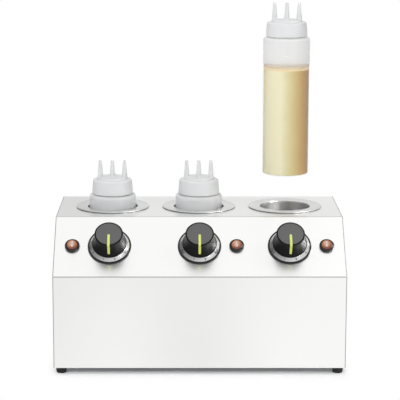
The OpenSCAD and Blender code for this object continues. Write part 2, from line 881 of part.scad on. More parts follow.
// Outline of the space inside a bottle up to its shoulder, smaller by a margin
function bottle_inside(margin, top) =
    let (r = bottle_r - bottle_wall - margin, c = heel_r - bottle_wall / 2, ramp = 4 * c)
    concat(
        [[0, bottle_wall + push_up + margin], [r - ramp, bottle_wall + push_up + margin]],
        arc([r - c, bottle_wall + c + margin], c, -90, 0, arc_steps),
        [[r, top], [0, top]]
    );

module bottle_body(i) {
    r = bottle_r;
    inner_r = bottle_r - bottle_wall;
    shoulder_inner = shoulder_r - bottle_wall;
    z_turn = bottle_shoulder_h - shoulder_r;
    ring_w = 2 * heel_r;
    color("white", 0.6) at_bottle(i) difference() {
        union() {
            rotate_extrude() polygon(concat(
                [[0, push_up], [r - ring_w - heel_r, push_up], [r - ring_w, 0]],
                arc([r - heel_r, heel_r], heel_r, -90, 0, arc_steps),
                arc([r - shoulder_r, z_turn], shoulder_r, 0, 90, arc_steps),
                [[neck_r, bottle_shoulder_h], [neck_r, neck_top], [0, neck_top]]
            ));
            for (z = [bottle_shoulder_h + thread_pitch:thread_pitch:neck_top - thread_h])
                translate([0, 0, z]) rotate_extrude() polygon([
                    [neck_r - thread_depth, -thread_h / 2], [neck_r, -thread_h / 2],
                    [neck_r + thread_depth, 0],
                    [neck_r, thread_h / 2], [neck_r - thread_depth, thread_h / 2]
                ]);
        }
        rotate_extrude() polygon(bottle_inside(0, z_turn));
        rotate_extrude() polygon(concat(
            [[0, z_turn - through], [inner_r, z_turn - through]],
            arc([r - shoulder_r, z_turn], shoulder_inner, 0, 90, arc_steps),
            [[neck_r - bottle_wall, bottle_shoulder_h - bottle_wall]],
            [[neck_r - bottle_wall, neck_top + through], [0, neck_top + through]]
        ));
    }
}

module bottle_body_1() { bottle_body(0); }
module bottle_body_2() { bottle_body(1); }
module bottle_body_3() { bottle_body(2); }

module sauce_3() {
    color("khaki") at_bottle(2) rotate_extrude() polygon(bottle_inside(sauce_play, sauce_h));
}

module bottle_cap(i) {
    top_r = cap_top_d / 2;
    disc_r = disc_d / 2;
    disc_edge = disc_h / 4;
    color("white", 0.8) at_bottle(i) difference() {
        union() {
            rotate_extrude() polygon(concat(
                [[0, cap_low], [cap_low_d / 2, cap_low]],
                arc([top_r - cap_round, cap_top - cap_round], cap_round, 0, 90, arc_steps),
                [[disc_r + disc_edge, cap_top], [disc_r, disc_top - disc_edge]],
                [[disc_r - disc_edge, disc_top], [0, disc_top]]
            ));
            for (k = columns) translate([k * nozzle_step, 0, disc_top - disc_h / 2])
                cylinder(d1 = nozzle_root_d, d2 = nozzle_tip_d, h = nozzle_h + disc_h / 2, $fn = small_fn);
        }
        translate([0, 0, cap_low - through]) cylinder(r = cap_inner_r, h = cap_h - cap_wall + through);
        translate([0, 0, cap_low]) cylinder(r = disc_r - cap_wall, h = cap_h + disc_h - cap_wall);
        for (k = columns) translate([k * nozzle_step, 0, disc_top - cap_wall - through])
            cylinder(d1 = nozzle_root_d - 2 * nozzle_wall, d2 = nozzle_hole_d,
                     h = nozzle_h + cap_wall + 2 * through, $fn = small_fn);
    }
}

module bottle_cap_1() { bottle_cap(0); }
module bottle_cap_2() { bottle_cap(1); }
module bottle_cap_3() { bottle_cap(2); }

// Feet and fasteners

module foot(sx, sy) {
    low_r = foot_low_d / 2;
    color("black") translate([sx * (x_side - foot_inset), sy * (body_d / 2 - foot_inset), 0]) difference() {
        rotate_extrude() polygon(concat(
            [[0, 0]],
            arc([low_r - foot_round, foot_round], foot_round, -90, 0, arc_steps),
            [[foot_top_d / 2, foot_h], [0, foot_h]]
        ));
        screw_hole(2 * (foot_h + through));
        translate([0, 0, -through])
            cylinder(d = screw_head_d + 4 * screw_play, h = foot_recess + through, $fn = small_fn);
    }
}

module foot_1() { foot(-1, -1); }
module foot_2() { foot(1, -1); }
module foot_3() { foot(-1, 1); }
module foot_4() { foot(1, 1); }

module foot_screws() {
    grip = foot_h - foot_recess + 2 * sheet_t;
    color("silver") at_feet() {
        translate([0, 0, foot_recess]) rotate([180, 0, 0]) pan_screw(grip + nut_h + sheet_t);
        translate([0, 0, foot_recess + grip]) nut();
    }
}

module housing_screws() {
    color("silver") {
        at_base_screws() rotate([180, 0, 0]) pan_screw(screw_l);
        at_lip_screws() pan_screw(screw_l);
        at_inlet_screws() {
            translate([0, 0, inlet_t - inlet_sink])
                cylinder(d1 = inlet_screw_d, d2 = inlet_head_d, h = inlet_sink, $fn = small_fn);
            translate([0, 0, -screw_l])
                cylinder(d = inlet_screw_d, h = screw_l + inlet_t / 2, $fn = small_fn);
            translate([0, 0, -sheet_t - inlet_nut_h])
                cylinder(d = inlet_nut_w / cos(30), h = inlet_nut_h, $fn = 6);
        }
    }
}

// Power inlet

module at_inlet() {
    translate([inlet_x, y_back, z_base + inlet_z]) rotate([-90, 0, 0]) mirror([0, 1, 0]) children();
}

module socket_prism(grow, low, high) {
    w = socket_w / 2 + grow;
    h = socket_h / 2 + grow;
    cut = socket_h / 4;
    translate([0, 0, low]) linear_extrude(high - low)
        polygon([[-w, -h], [w, -h], [w, h - cut], [w - cut, h], [-w + cut, h], [-w, h - cut]]);
}

module power_inlet() {
    color("black") difference() {
        at_inlet() difference() {
            union() {
                translate([-inlet_w / 2, -inlet_h / 2, 0]) cube([inlet_w, inlet_h, inlet_t]);
                socket_prism(socket_wall, inlet_t - socket_depth - inlet_back, inlet_t / 2);
            }
            socket_prism(0, inlet_t - socket_depth, inlet_t + through);
            inlet_pin_set(inlet_t - socket_depth - inlet_back - through, running_play);
        }
        at_inlet_screws() {
            translate([0, 0, -through])
                cylinder(d = inlet_screw_d + 2 * screw_play, h = inlet_t + 2 * through, $fn = small_fn);
            translate([0, 0, inlet_t - inlet_sink - screw_play])
                cylinder(d1 = inlet_screw_d, d2 = inlet_head_d + 2 * screw_play + through,
                         h = inlet_sink + screw_play + through / 2, $fn = small_fn);
        }
    }
}

module inlet_pin(x, y, low, play) {
    high = inlet_t - pin_short;
    translate([x - pin_w / 2 - play, y - pin_h / 2 - play, low])
        cube([pin_w + 2 * play, pin_h + 2 * play, high - low]);
}

module inlet_pin_set(low, play) {
    for (s = sides) inlet_pin(s * pin_side, -pin_drop, low, play);
    inlet_pin(0, pin_rise, low, play);
}

module inlet_pins() {
    low = pin_room + y_well + heater_r + heater_t - y_back;
    color("gold") at_inlet() inlet_pin_set(low, 0);
}

module terminal_block() {
    way = block_w / block_ways;
    color("ivory") translate([pitch / 2, block_y, z_base + sheet_t]) difference() {
        translate([-block_w / 2, -block_d / 2, 0]) cube([block_w, block_d, block_h]);
        for (k = [0:block_ways - 1], s = sides)
            translate([(k - (block_ways - 1) / 2) * way, s * block_d / 4, block_h - block_hole_depth])
                cylinder(d = block_hole_d, h = block_hole_depth + through, $fn = small_fn);
    }
}

side_panel_left();
side_panel_right();
top_panel();
front_panel();
rear_panel();
base_plate();
well_1();
well_2();
well_3();
well_seals();
well_nuts();
heater_band_1();
heater_band_2();
heater_band_3();
thermostat_1();
thermostat_2();
thermostat_3();
capillary_1();
capillary_2();
capillary_3();
bulb_clips();
thermostat_screws();
thermostat_shaft_1();
thermostat_shaft_2();
thermostat_shaft_3();
dial_rim_1();
dial_rim_2();
dial_rim_3();
dial_scale_1();
dial_scale_2();
dial_scale_3();
knob_1();
knob_2();
knob_3();
knob_pointer_1();
knob_pointer_2();
knob_pointer_3();
switch_body_1();
switch_body_2();
switch_body_3();
switch_rocker_1();
switch_rocker_2();
switch_rocker_3();
bottle_body_1();
bottle_body_2();
bottle_body_3();
bottle_cap_1();
bottle_cap_2();
bottle_cap_3();
sauce_3();
foot_1();
foot_2();
foot_3();
foot_4();
foot_screws();
housing_screws();
power_inlet();
inlet_pins();
terminal_block();
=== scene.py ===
# %% [markdown]
# # A warmer for three squeeze bottles of sauce
# The cabinet is folded from brushed stainless steel. Three drawn steel wells hang in its deck, and a dial
# and a lit rocker switch for each well sit on the slope in front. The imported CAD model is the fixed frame:
# every piece made here takes its place and its main sizes from that frame and rides on one of its bodies.

# %% The frame
import json
import math

import bmesh
import bpy
import numpy as np
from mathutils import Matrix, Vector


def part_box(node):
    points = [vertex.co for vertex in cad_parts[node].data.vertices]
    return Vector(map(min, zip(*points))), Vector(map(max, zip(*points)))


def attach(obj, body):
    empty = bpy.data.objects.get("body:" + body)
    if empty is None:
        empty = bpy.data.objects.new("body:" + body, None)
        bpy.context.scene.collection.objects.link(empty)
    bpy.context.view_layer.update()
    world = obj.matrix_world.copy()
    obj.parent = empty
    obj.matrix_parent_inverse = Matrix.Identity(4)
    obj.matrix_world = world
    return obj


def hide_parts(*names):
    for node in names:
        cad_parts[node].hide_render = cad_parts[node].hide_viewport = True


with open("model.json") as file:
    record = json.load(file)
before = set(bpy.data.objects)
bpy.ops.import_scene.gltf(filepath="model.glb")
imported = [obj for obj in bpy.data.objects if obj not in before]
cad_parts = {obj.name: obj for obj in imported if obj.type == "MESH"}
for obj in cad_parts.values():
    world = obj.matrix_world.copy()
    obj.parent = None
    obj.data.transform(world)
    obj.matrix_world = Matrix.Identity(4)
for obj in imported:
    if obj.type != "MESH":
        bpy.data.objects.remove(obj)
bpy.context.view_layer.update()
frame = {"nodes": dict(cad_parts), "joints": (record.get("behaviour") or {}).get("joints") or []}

MM = 0.001
ORDER = (1, 2, 3)
nodes = frame["nodes"]
joints = {joint["name"]: joint for joint in frame["joints"]}

# %% [markdown]
# ## Camera
# The photograph is taken from a little above the deck, square to the front and from over two metres away.
# Its verticals are parallel, which needs a lens moved far down against the sensor. Only as much of that
# movement is kept as shift as leaves the object inside every other view; the rest is tilt.

# %% Camera
CAMERA_PLACE = (-0.02617, -2.29091, 0.68896)
CAMERA_PITCH = math.radians(-10.2509)
CAMERA_LENS = 141.418
CAMERA_SENSOR = 36.0
CAMERA_SHIFT = (0.0465, -0.07)

scene = bpy.context.scene
camera_data = bpy.data.cameras.new("camera")
camera_data.lens = CAMERA_LENS
camera_data.sensor_width = CAMERA_SENSOR
camera_data.shift_x, camera_data.shift_y = CAMERA_SHIFT
camera = bpy.data.objects.new("camera", camera_data)
camera.location = CAMERA_PLACE
camera.rotation_euler = (math.pi / 2 + CAMERA_PITCH, 0, 0)
scene.collection.objects.link(camera)
scene.camera = camera
scene.view_settings.view_transform = "Standard"
print("camera at", CAMERA_PLACE, "with a lens of", CAMERA_LENS, "mm")

# %% [markdown]
# ## Colours and nodes
# Colours are written as sRGB hex values, because a designer reads them that way, while shaders want
# linear light. One function turns the first into the second. One more adds a node, sets what it is given
# and links what it is given, so that every material below reads as a short list of nodes. An input has a
# number where several share a name: a Mix node of colours takes them at 6 and 7 and gives output 2.

# %% Colours and nodes
def linear(code):
    """sRGB hex to linear RGBA: below 0.04045 a channel is divided by 12.92, above it follows a 2.4 power."""
    srgb = np.array([int(code[i:i + 2], 16) / 255 for i in (1, 3, 5)])
    low, high = srgb / 12.92, ((srgb + 0.055) / 1.055) ** 2.4
    return (*np.where(srgb <= 0.04045, low, high), 1.0)


def add(tree, kind, inputs=None, **settings):
    """A new node of a kind: settings are its properties, inputs are values or other nodes' sockets."""
    node = tree.nodes.new(kind)
    for name, value in settings.items():
        setattr(node, name, value)
    for name, value in (inputs or {}).items():
        if isinstance(value, bpy.types.NodeSocket):
            tree.links.new(value, node.inputs[name])
        else:
            node.inputs[name].default_value = value
    return node


def material(name, colour, **sockets):
    """A material with one Principled shader of a colour; underlines in the sockets' names are spaces."""
    made = bpy.data.materials.new(name)
    made.use_nodes = True
    made.node_tree.nodes.clear()
    inputs = {key.replace("_", " "): value for key, value in sockets.items()}
    shader = add(made.node_tree, "ShaderNodeBsdfPrincipled", {"Base Color": linear(colour), **inputs})
    add(made.node_tree, "ShaderNodeOutputMaterial", {"Surface": shader.outputs["BSDF"]})
    return made, made.node_tree, shader


print("a middle grey of #808080 is", round(float(linear("#808080")[0]), 3), "in linear light")

# %% [markdown]
# ## Outlines carried round an axis
# Nearly all that is round here was turned, drawn, blown or moulded about an axis, so one outline carried
# round that axis gives the piece. A Screw modifier could do the same; arrays of points keep each radius
# and height in view and give both walls at once. An outline is a short list of corners, each with the
# length that its rounding takes off the two sides that meet there.

# %% Outlines and turned surfaces
ROUND_STEPS = 7
TURN_STEPS = 128
NO_LENGTH = 1e-9


def outline(corners, steps=ROUND_STEPS):
    """Corners (radius, height, cut) in mm to points in metres. Each corner C becomes a quadratic curve
    (1-t)^2 A + 2t(1-t) C + t^2 B, where A and B lie the cut's length before and after C on its sides."""
    c = np.array(corners, float)
    point, cut = c[:, None, :2], c[:, 2, None]
    ahead = np.roll(c[:, :2], -1, 0) - c[:, :2]
    ahead /= np.maximum(np.linalg.norm(ahead, axis=1, keepdims=True), NO_LENGTH)
    behind = -np.roll(ahead, 1, 0)
    a, b = (c[:, :2] + cut * behind)[:, None], (c[:, :2] + cut * ahead)[:, None]
    t = np.linspace(0, 1, steps)[None, :, None]
    return ((1 - t) ** 2 * a + 2 * t * (1 - t) * point + t ** 2 * b).reshape(-1, 2) * MM


def turned(profile, steps=TURN_STEPS):
    """A profile (r, h) carried round the axis: x = r cos(turn), y = r sin(turn), z = h."""
    turn = np.arange(steps) / steps * 2 * math.pi
    r, h = profile[:, :1], profile[:, 1:]
    return np.stack([r * np.cos(turn), r * np.sin(turn), h + 0 * turn], axis=-1)


print("a rounded corner has", ROUND_STEPS, "points and a turned piece", TURN_STEPS, "steps round")

# %% [markdown]
# ## Grids made into pieces
# A grid of points becomes quads between its neighbours. Where an outline meets the axis the quads shrink
# to slivers, so doubles are welded first, which closes the poles, and the faces are turned outwards after
# that. One function gives every piece its finish, its body and its slot, so that none goes without.

# %% Pieces
WELD = 2e-6
SHARP_ANGLE = 35


def grid_faces(rows, columns, wrap_rows, wrap_columns, first=0):
    """Corner numbers of the quads between neighbouring rows and columns of a grid."""
    i = np.arange(rows if wrap_rows else rows - 1)[:, None]
    j = np.arange(columns if wrap_columns else columns - 1)[None, :]
    i1, j1 = (i + 1) % rows, (j + 1) % columns
    quads = [i * columns + j, i * columns + j1, i1 * columns + j1, i1 * columns + j]
    return first + np.stack(quads, axis=-1).reshape(-1, 4)


def piece(name, grids, finish, body, replaces=(), sharp=SHARP_ANGLE):
    """A welded mesh of several grids (points, wrap_rows, wrap_columns), riding on a body."""
    points, faces, first = [], [], 0
    for grid, wrap_rows, wrap_columns in grids:
        faces.append(grid_faces(*grid.shape[:2], wrap_rows, wrap_columns, first))
        points.append(grid.reshape(-1, 3))
        first += len(points[-1])
    mesh = bpy.data.meshes.new(name)
    mesh.from_pydata(np.concatenate(points).tolist(), [], np.concatenate(faces).tolist())
    work = bmesh.new()
    work.from_mesh(mesh)
    bmesh.ops.remove_doubles(work, verts=work.verts, dist=WELD)
    bmesh.ops.dissolve_degenerate(work, edges=work.edges, dist=WELD)
    bmesh.ops.recalc_face_normals(work, faces=work.faces)
    work.to_mesh(mesh)
    work.free()
    return dressed(name, mesh, finish, body, replaces, sharp)


def dressed(name, mesh, finish, body, replaces=(), sharp=SHARP_ANGLE):
    """An object of a mesh with its finish, smooth but for edges sharper than an angle, on its body."""
    mesh.materials.clear()
    mesh.materials.append(finish)
    mesh.shade_smooth()
    mesh.set_sharp_from_angle(angle=math.radians(sharp))
    made = bpy.data.objects.new(name, mesh)
    scene.collection.objects.link(made)
    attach(made, body)
    if replaces:
        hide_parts(*replaces)
    print(name, "has", len(mesh.polygons), "faces and rides on", body)
    return made


print("points nearer than", WELD / MM, "mm are welded, edges over", SHARP_ANGLE, "degrees stay sharp")

# %% [markdown]
# ## The slope's own directions
# A dial is easiest to draw flat: x across, y up the slope and z out of it. The knob's hinge gives the
# middle of the dial and the direction that points into the slope, and from those follows the turn that
# lays a flat drawing on the slope.

# %% The slope's own directions
ACROSS = (1.0, 0.0, 0.0)
ROCKER_PIVOT_H = 1.2 * MM

into = np.array(joints["knob_1_turn"]["axis"], float)
SLOPE_OUT = -into / np.linalg.norm(into)
SLOPE_UP = np.cross(SLOPE_OUT, ACROSS)


def on_slope(points, centre):
    """Local (x, up, out) to the frame: centre + x X + up U + out N, with U up the slope and N out of it."""
    return np.asarray(centre) + points @ np.stack([ACROSS, SLOPE_UP, SLOPE_OUT])


dial_centre = {i: np.array(joints[f"knob_{i}_turn"]["pos_m"]) for i in ORDER}
switch_centre = {i: np.array(joints[f"rocker_{i}_tip"]["pos_m"]) - ROCKER_PIVOT_H * SLOPE_OUT for i in ORDER}
print("the slope leans", round(math.degrees(math.acos(SLOPE_OUT[2])), 2), "degrees from level")

# %% [markdown]
# ## Brushed stainless steel
# The sheet is stainless steel (AISI 304) ground with a belt that ran along its length, which leaves fine
# parallel scratches. They give the eye a pale, soft shine that smears reflections across the grain and
# keeps their edges sharp along it. Real scratches are about 0.05 mm apart; they are drawn 0.7 mm apart,
# as coarse as they need to be to show. Anisotropy does the smearing, and stretched noise the streaks.
# Along the sheared edges and over the fold a narrow darker band is painted into the colour: painted shade
# for the dark that the rounded edges and the fold mirror, which draws the outline.

# %% Painted shade along the edges
# The edge tone is painted shade: the dark that the rounded edges and the fold would mirror.
PAINTED_EDGE_SHADE, EDGE_BAND, EDGE_SOFT = "#9A9A99", 0.8 * MM, 0.5 * MM
FOLD_Y, FOLD_STRENGTH = -37.3 * MM, 0.55


# The band marks where painted shade darkens the steel's colour along its edges and its fold.
def painted_edge_shade_mask(tree, place, half_x, fold_y):
    """1 within a band of the planes |x| = half_x and y = fold_y, falling to 0 over a soft width."""
    axes = add(tree, "ShaderNodeSeparateXYZ", {0: place})
    side = add(tree, "ShaderNodeMath", {0: axes.outputs[0]}, operation="ABSOLUTE")
    mask = 0.0
    for value, plane, most in ((side.outputs[0], half_x, 1.0), (axes.outputs[1], fold_y, FOLD_STRENGTH)):
        gap = add(tree, "ShaderNodeMath", {0: value, 1: plane}, operation="SUBTRACT")
        gap = add(tree, "ShaderNodeMath", {0: gap.outputs[0]}, operation="ABSOLUTE")
        near = add(tree, "ShaderNodeMapRange", {
            "Value": gap.outputs[0], "From Min": EDGE_BAND, "From Max": EDGE_BAND + EDGE_SOFT,
            "To Min": most, "To Max": 0.0})
        mask = add(tree, "ShaderNodeMath", {0: near.outputs[0], 1: mask}, operation="MAXIMUM").outputs[0]
    return mask


shell_half_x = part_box("top_panel")[1].x
print("the darker band is", EDGE_BAND / MM, "mm wide")

# %% Brushed stainless steel
GRAIN_ACROSS, GRAIN_ALONG, GRAIN_DETAIL, GRAIN_BREAK = 0.7 * MM, 90 * MM, 3.0, 0.6
CLOUDS_PER_M, STREAK_BASE = 9.0, 0.25
STEEL_MEAN, STEEL_LOW, STEEL_HIGH = "#ECECEB", "#F7F7F6", "#FEFEFD"
STEEL_ROUGH, STEEL_SMEAR = (0.29, 0.33), 0.4
SCRATCH_SHOWS, SCRATCH_DEPTH = 0.03, 0.05 * MM
NOISE_RANGE = {"From Min": 0.3, "From Max": 0.7}


def brushed_steel(name, along, smear, half_x, fold_y):
    """Steel with its grain along one axis (0 = X, 1 = Y), smeared along a vector, with painted shade at its
    edges.
    """
    made, tree, shader = material(name, STEEL_MEAN, Metallic=1.0, Anisotropic=STEEL_SMEAR)
    place = add(tree, "ShaderNodeTexCoord").outputs["Object"]
    scale = [1 / GRAIN_ACROSS] * 3
    scale[along] = 1 / GRAIN_ALONG
    stretched = add(tree, "ShaderNodeMapping", {"Vector": place, "Scale": scale})
    grain = add(tree, "ShaderNodeTexNoise", {
        "Vector": stretched.outputs[0], "Scale": 1.0, "Detail": GRAIN_DETAIL, "Roughness": GRAIN_BREAK})
    cloud = add(tree, "ShaderNodeTexNoise", {"Vector": place, "Scale": CLOUDS_PER_M, "Detail": 2.0})
    streak = add(tree, "ShaderNodeMath", {0: grain.outputs[0], 1: cloud.outputs[0], 2: STREAK_BASE},
                 operation="MULTIPLY_ADD")
    rough = add(tree, "ShaderNodeMapRange", {
        "Value": grain.outputs[0], **NOISE_RANGE, "To Min": STEEL_ROUGH[0], "To Max": STEEL_ROUGH[1]})
    bump = add(tree, "ShaderNodeBump", {
        "Height": grain.outputs[0], "Strength": SCRATCH_SHOWS, "Distance": SCRATCH_DEPTH})
    across = add(tree, "ShaderNodeCombineXYZ", dict(enumerate(smear)))
    sheet = add(tree, "ShaderNodeMix", {0: streak.outputs[0], 6: linear(STEEL_LOW), 7: linear(STEEL_HIGH)},
                data_type="RGBA")
    # The edges and the fold get painted shade mixed into the steel's colour.
    edge_shaded = add(tree, "ShaderNodeMix", {
        0: painted_edge_shade_mask(tree, place, half_x, fold_y), 6: sheet.outputs[2], 7: linear(PAINTED_EDGE_SHADE)},
        data_type="RGBA")
    tree.links.new(edge_shaded.outputs[2], shader.inputs["Base Color"])
    tree.links.new(rough.outputs[0], shader.inputs["Roughness"])
    tree.links.new(bump.outputs[0], shader.inputs["Normal"])
    tree.links.new(across.outputs[0], shader.inputs["Tangent"])
    return made


OUT_OF_REACH = 1.0
panel_steel = brushed_steel("brushed_stainless_steel", 0, (0.0, 1.0, 1.0), shell_half_x, FOLD_Y)
side_steel = brushed_steel("brushed_stainless_steel_sides", 1, (0.0, 0.0, 1.0), 0.0, OUT_OF_REACH)
print("brushed steel made for the panels and for the sides")

# %% [markdown]
# ## Folded panels
# A brake press leaves a folded or sheared edge slightly rounded, and that thin round is what catches the
# light along the real cabinet's edges. The sheets could be drawn anew, but the CAD shape is already exact:
# its loose triangles are welded, and a narrow bevel rounds only the edges where the sheet really turns.

# %% Folded panels
EDGE_ROUND, EDGE_STEPS, EDGE_ANGLE = 0.25 * MM, 2, math.radians(40)


def dress(node, finish):
    """Gives a CAD node another finish."""
    nodes[node].data.materials.clear()
    nodes[node].data.materials.append(finish)


def soften(node):
    """Welds a CAD node's triangles and rounds its edges that are sharper than an angle."""
    nodes[node].modifiers.new("weld", "WELD").merge_threshold = WELD
    bevel = nodes[node].modifiers.new("edge_round", "BEVEL")
    bevel.width, bevel.segments = EDGE_ROUND, EDGE_STEPS
    bevel.limit_method, bevel.angle_limit = "ANGLE", EDGE_ANGLE
    bevel.harden_normals = bevel.use_clamp_overlap = True


dress("rear_panel", panel_steel)
for panel, finish in (("top_panel", panel_steel), ("front_panel", panel_steel),
                      ("side_panel_left", side_steel), ("side_panel_right", side_steel)):
    dress(panel, finish)
    soften(panel)
    print(panel, "keeps its", len(nodes[panel].data.polygons), "triangles under a bevel")

# %% [markdown]
# ## Dark bead in the seam
# Under the slope the two sheets meet in a narrow gap, and a dark bead set at its back is painted shade: a
# dark piece where there is only the gap's shadow. A dark line could be painted on the steel as well, but a
# bead set back in the real gap keeps the gap's own shadow and shows right from every side. Its cross-section
# is a small rectangle, carried from side to side.

# %% Dark bead in the seam
SEAM_GAP, BEAD_SET_BACK, BEAD_DEPTH, BEAD_SHORT = 0.8 * MM, 0.3 * MM, 0.68 * MM, 2.5 * MM


def closed_ends(grid):
    """A grid with one more row at each end, gathered at the middle of the row beside it."""
    start, end = (row * 0 + row.mean(1, keepdims=True) for row in (grid[:1], grid[-1:]))
    return np.concatenate([start, grid, end])


# Dark bead: painted shade for the gap under the slope, a matt dark line without a glint.
seam_shade_finish, *_ = material("painted_seam_shade", "#2E2E2E", Roughness=0.7)
panel_low, panel_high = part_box("front_panel")
bead_y = panel_low.y + BEAD_SET_BACK + np.array((0, 0, 1, 1)) * BEAD_DEPTH
bead_z = panel_high.z + np.array((0, 1, 1, 0)) * SEAM_GAP
reach = np.array((-1.0, 1.0))[:, None] * (shell_half_x - BEAD_SHORT)
bead = np.stack([reach + 0 * bead_y, 0 * reach + bead_y, 0 * reach + bead_z], -1)
# The bead is a dark piece set in the gap as painted shade.
piece("seam_shade_bead", [(closed_ends(bead), False, True)], seam_shade_finish, "cabinet")

# %% [markdown]
# ## Drawn wells
# A well is deep drawn from one disc of steel: a cup, a rolled rim and a flange that dishes slightly
# towards the cup. Its flange was turned and polished, so its fine lines run round the axis; its bore keeps
# the duller, rougher skin of the drawing, and its colour is darker there, partly that skin and partly
# painted shade of the deep recess. That gives the eye a bright ring with a soft, smeared gleam inside. Noise
# on plain coordinates could not follow the lines, so the mesh has a UV map whose first direction runs across
# them, and the steel's reflections smear along it.

# %% Turned steel of the wells
RING_SCALE, WELL_SMEAR = (900.0, 3.0, 1.0), 0.7
FLANGE_LOW, FLANGE_HIGH, FLANGE_ROUGH = "#DADAD9", "#F0F0EF", (0.20, 0.29)
# The bore's tone is darker: partly the drawing's dull skin, partly painted shade of the deep recess.
BORE_SHADED_TONE, BORE_ROUGH, BORE_FROM, BORE_TO = "#CFCFCE", 0.39, 33 * MM, 37 * MM

well_steel, tree, shader = material("drawn_stainless_steel", FLANGE_HIGH, Metallic=1.0,
                                    Anisotropic=WELL_SMEAR)
place = add(tree, "ShaderNodeUVMap", uv_map="turning")
rings = add(tree, "ShaderNodeMapping", {"Vector": place.outputs[0], "Scale": RING_SCALE})
grain = add(tree, "ShaderNodeTexNoise", {"Vector": rings.outputs[0], "Scale": 1.0, "Detail": 2.0})
rough = add(tree, "ShaderNodeMapRange", {
    "Value": grain.outputs[0], **NOISE_RANGE, "To Min": FLANGE_ROUGH[0], "To Max": FLANGE_ROUGH[1]})
along = add(tree, "ShaderNodeSeparateXYZ", {0: place.outputs[0]})
drawn = add(tree, "ShaderNodeMapRange", {
    "Value": along.outputs[0], "From Min": BORE_FROM, "From Max": BORE_TO})
ringed = add(tree, "ShaderNodeMix", {0: grain.outputs[0], 6: linear(FLANGE_LOW), 7: linear(FLANGE_HIGH)},
             data_type="RGBA")
# The bore gets the darker tone, partly painted shade of the recess.
toned = add(tree, "ShaderNodeMix", {0: drawn.outputs[0], 6: linear(BORE_SHADED_TONE), 7: ringed.outputs[2]},
            data_type="RGBA")
duller = add(tree, "ShaderNodeMix", {0: drawn.outputs[0], 2: BORE_ROUGH, 3: rough.outputs[0]})
tangent = add(tree, "ShaderNodeTangent", direction_type="UV_MAP", uv_map="turning")
tree.links.new(toned.outputs[2], shader.inputs["Base Color"])
tree.links.new(duller.outputs[0], shader.inputs["Roughness"])
tree.links.new(tangent.outputs[0], shader.inputs["Tangent"])
print("the bore's steel is", BORE_ROUGH, "rough, the flange's", FLANGE_ROUGH)

# %% Wells
WELL_BORE, WELL_WALL, WELL_STEPS = 37.5, 1.0, 160
WELL_DISH, WELL_CORNER, WELL_RIM = 0.7, 6.0, 1.8
DISH_START, FLANGE_DROP, FLANGE_BEVEL = 50.0, 0.4, 0.7


def stand(node, at_top=False):
    """Middle of a node's box from above, at its lowest or its highest point."""
    low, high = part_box(node)
    return np.array((*((low + high) / 2).xy, (high if at_top else low).z))


def corner_places(mesh, centre):
    """Place of each face corner from a centre, in the order of a UV map."""
    corner_vertex = np.empty(len(mesh.loops), np.int64)
    mesh.loops.foreach_get("vertex_index", corner_vertex)
    place = np.empty(len(mesh.vertices) * 3)
    mesh.vertices.foreach_get("co", place)
    return place.reshape(-1, 3)[corner_vertex] - centre


def map_turning(mesh, centre):
    """UV of a turned piece: U is radius plus height in metres, which rises from the foot of the axis up
    the wall and out over the flange, and V is the angle round the axis over a full turn."""
    place = corner_places(mesh, centre)
    around = np.arctan2(place[:, 1], place[:, 0]) / (2 * math.pi)
    sizes = np.empty(len(mesh.polygons), np.int64)
    mesh.polygons.foreach_get("loop_total", sizes)
    first = np.repeat(around[np.concatenate([[0], np.cumsum(sizes)[:-1]])], sizes)
    around += np.round(first - around)
    away = np.hypot(place[:, 0], place[:, 1]) + place[:, 2]
    mesh.uv_layers.new(name="turning").data.foreach_set("uv", np.stack([away, around], -1).ravel())


for i in ORDER:
    low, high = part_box(f"well_{i}")
    flange_r, depth = (high.x - low.x) / 2 / MM, (high.z - low.z) / MM
    wall_r = WELL_BORE + WELL_WALL
    profile = outline([
        (0, -depth, 0), (wall_r, -depth, WELL_CORNER + WELL_WALL),
        (wall_r, -WELL_DISH - WELL_WALL, WELL_RIM - WELL_WALL), (DISH_START, -WELL_WALL, 1),
        (flange_r, -WELL_WALL, 0), (flange_r, -FLANGE_DROP, 0.2), (flange_r - FLANGE_BEVEL, 0, 0.3),
        (DISH_START, 0, 3), (WELL_BORE, -WELL_DISH, WELL_RIM), (WELL_BORE, WELL_WALL - depth, WELL_CORNER),
        (0, WELL_WALL - depth, 0)])
    centre = stand(f"well_{i}", at_top=True)
    made = piece(f"well_{i}_drawn", [(turned(profile, WELL_STEPS) + centre, False, True)], well_steel,
                 "cabinet", [f"well_{i}"])
    map_turning(made.data, centre)

# %% [markdown]
# ## Moulded plastics and rubber
# The knobs are moulded ABS with a satin, faintly eroded surface, and the dial's rim and the switch's
# bezel are a glossier moulding. A plain colour would look like paint, and a photographed texture would
# stretch. Fine noise gives the satin its broken shine, slow noise the places that hands have worn, and a
# black that is not quite black keeps its edges readable.

# %% Moulded plastics and rubber
WEAR_PER_M, WEAR_SPAN, GRAIN_SHOWS = 60.0, (0.85, 1.15), 0.3


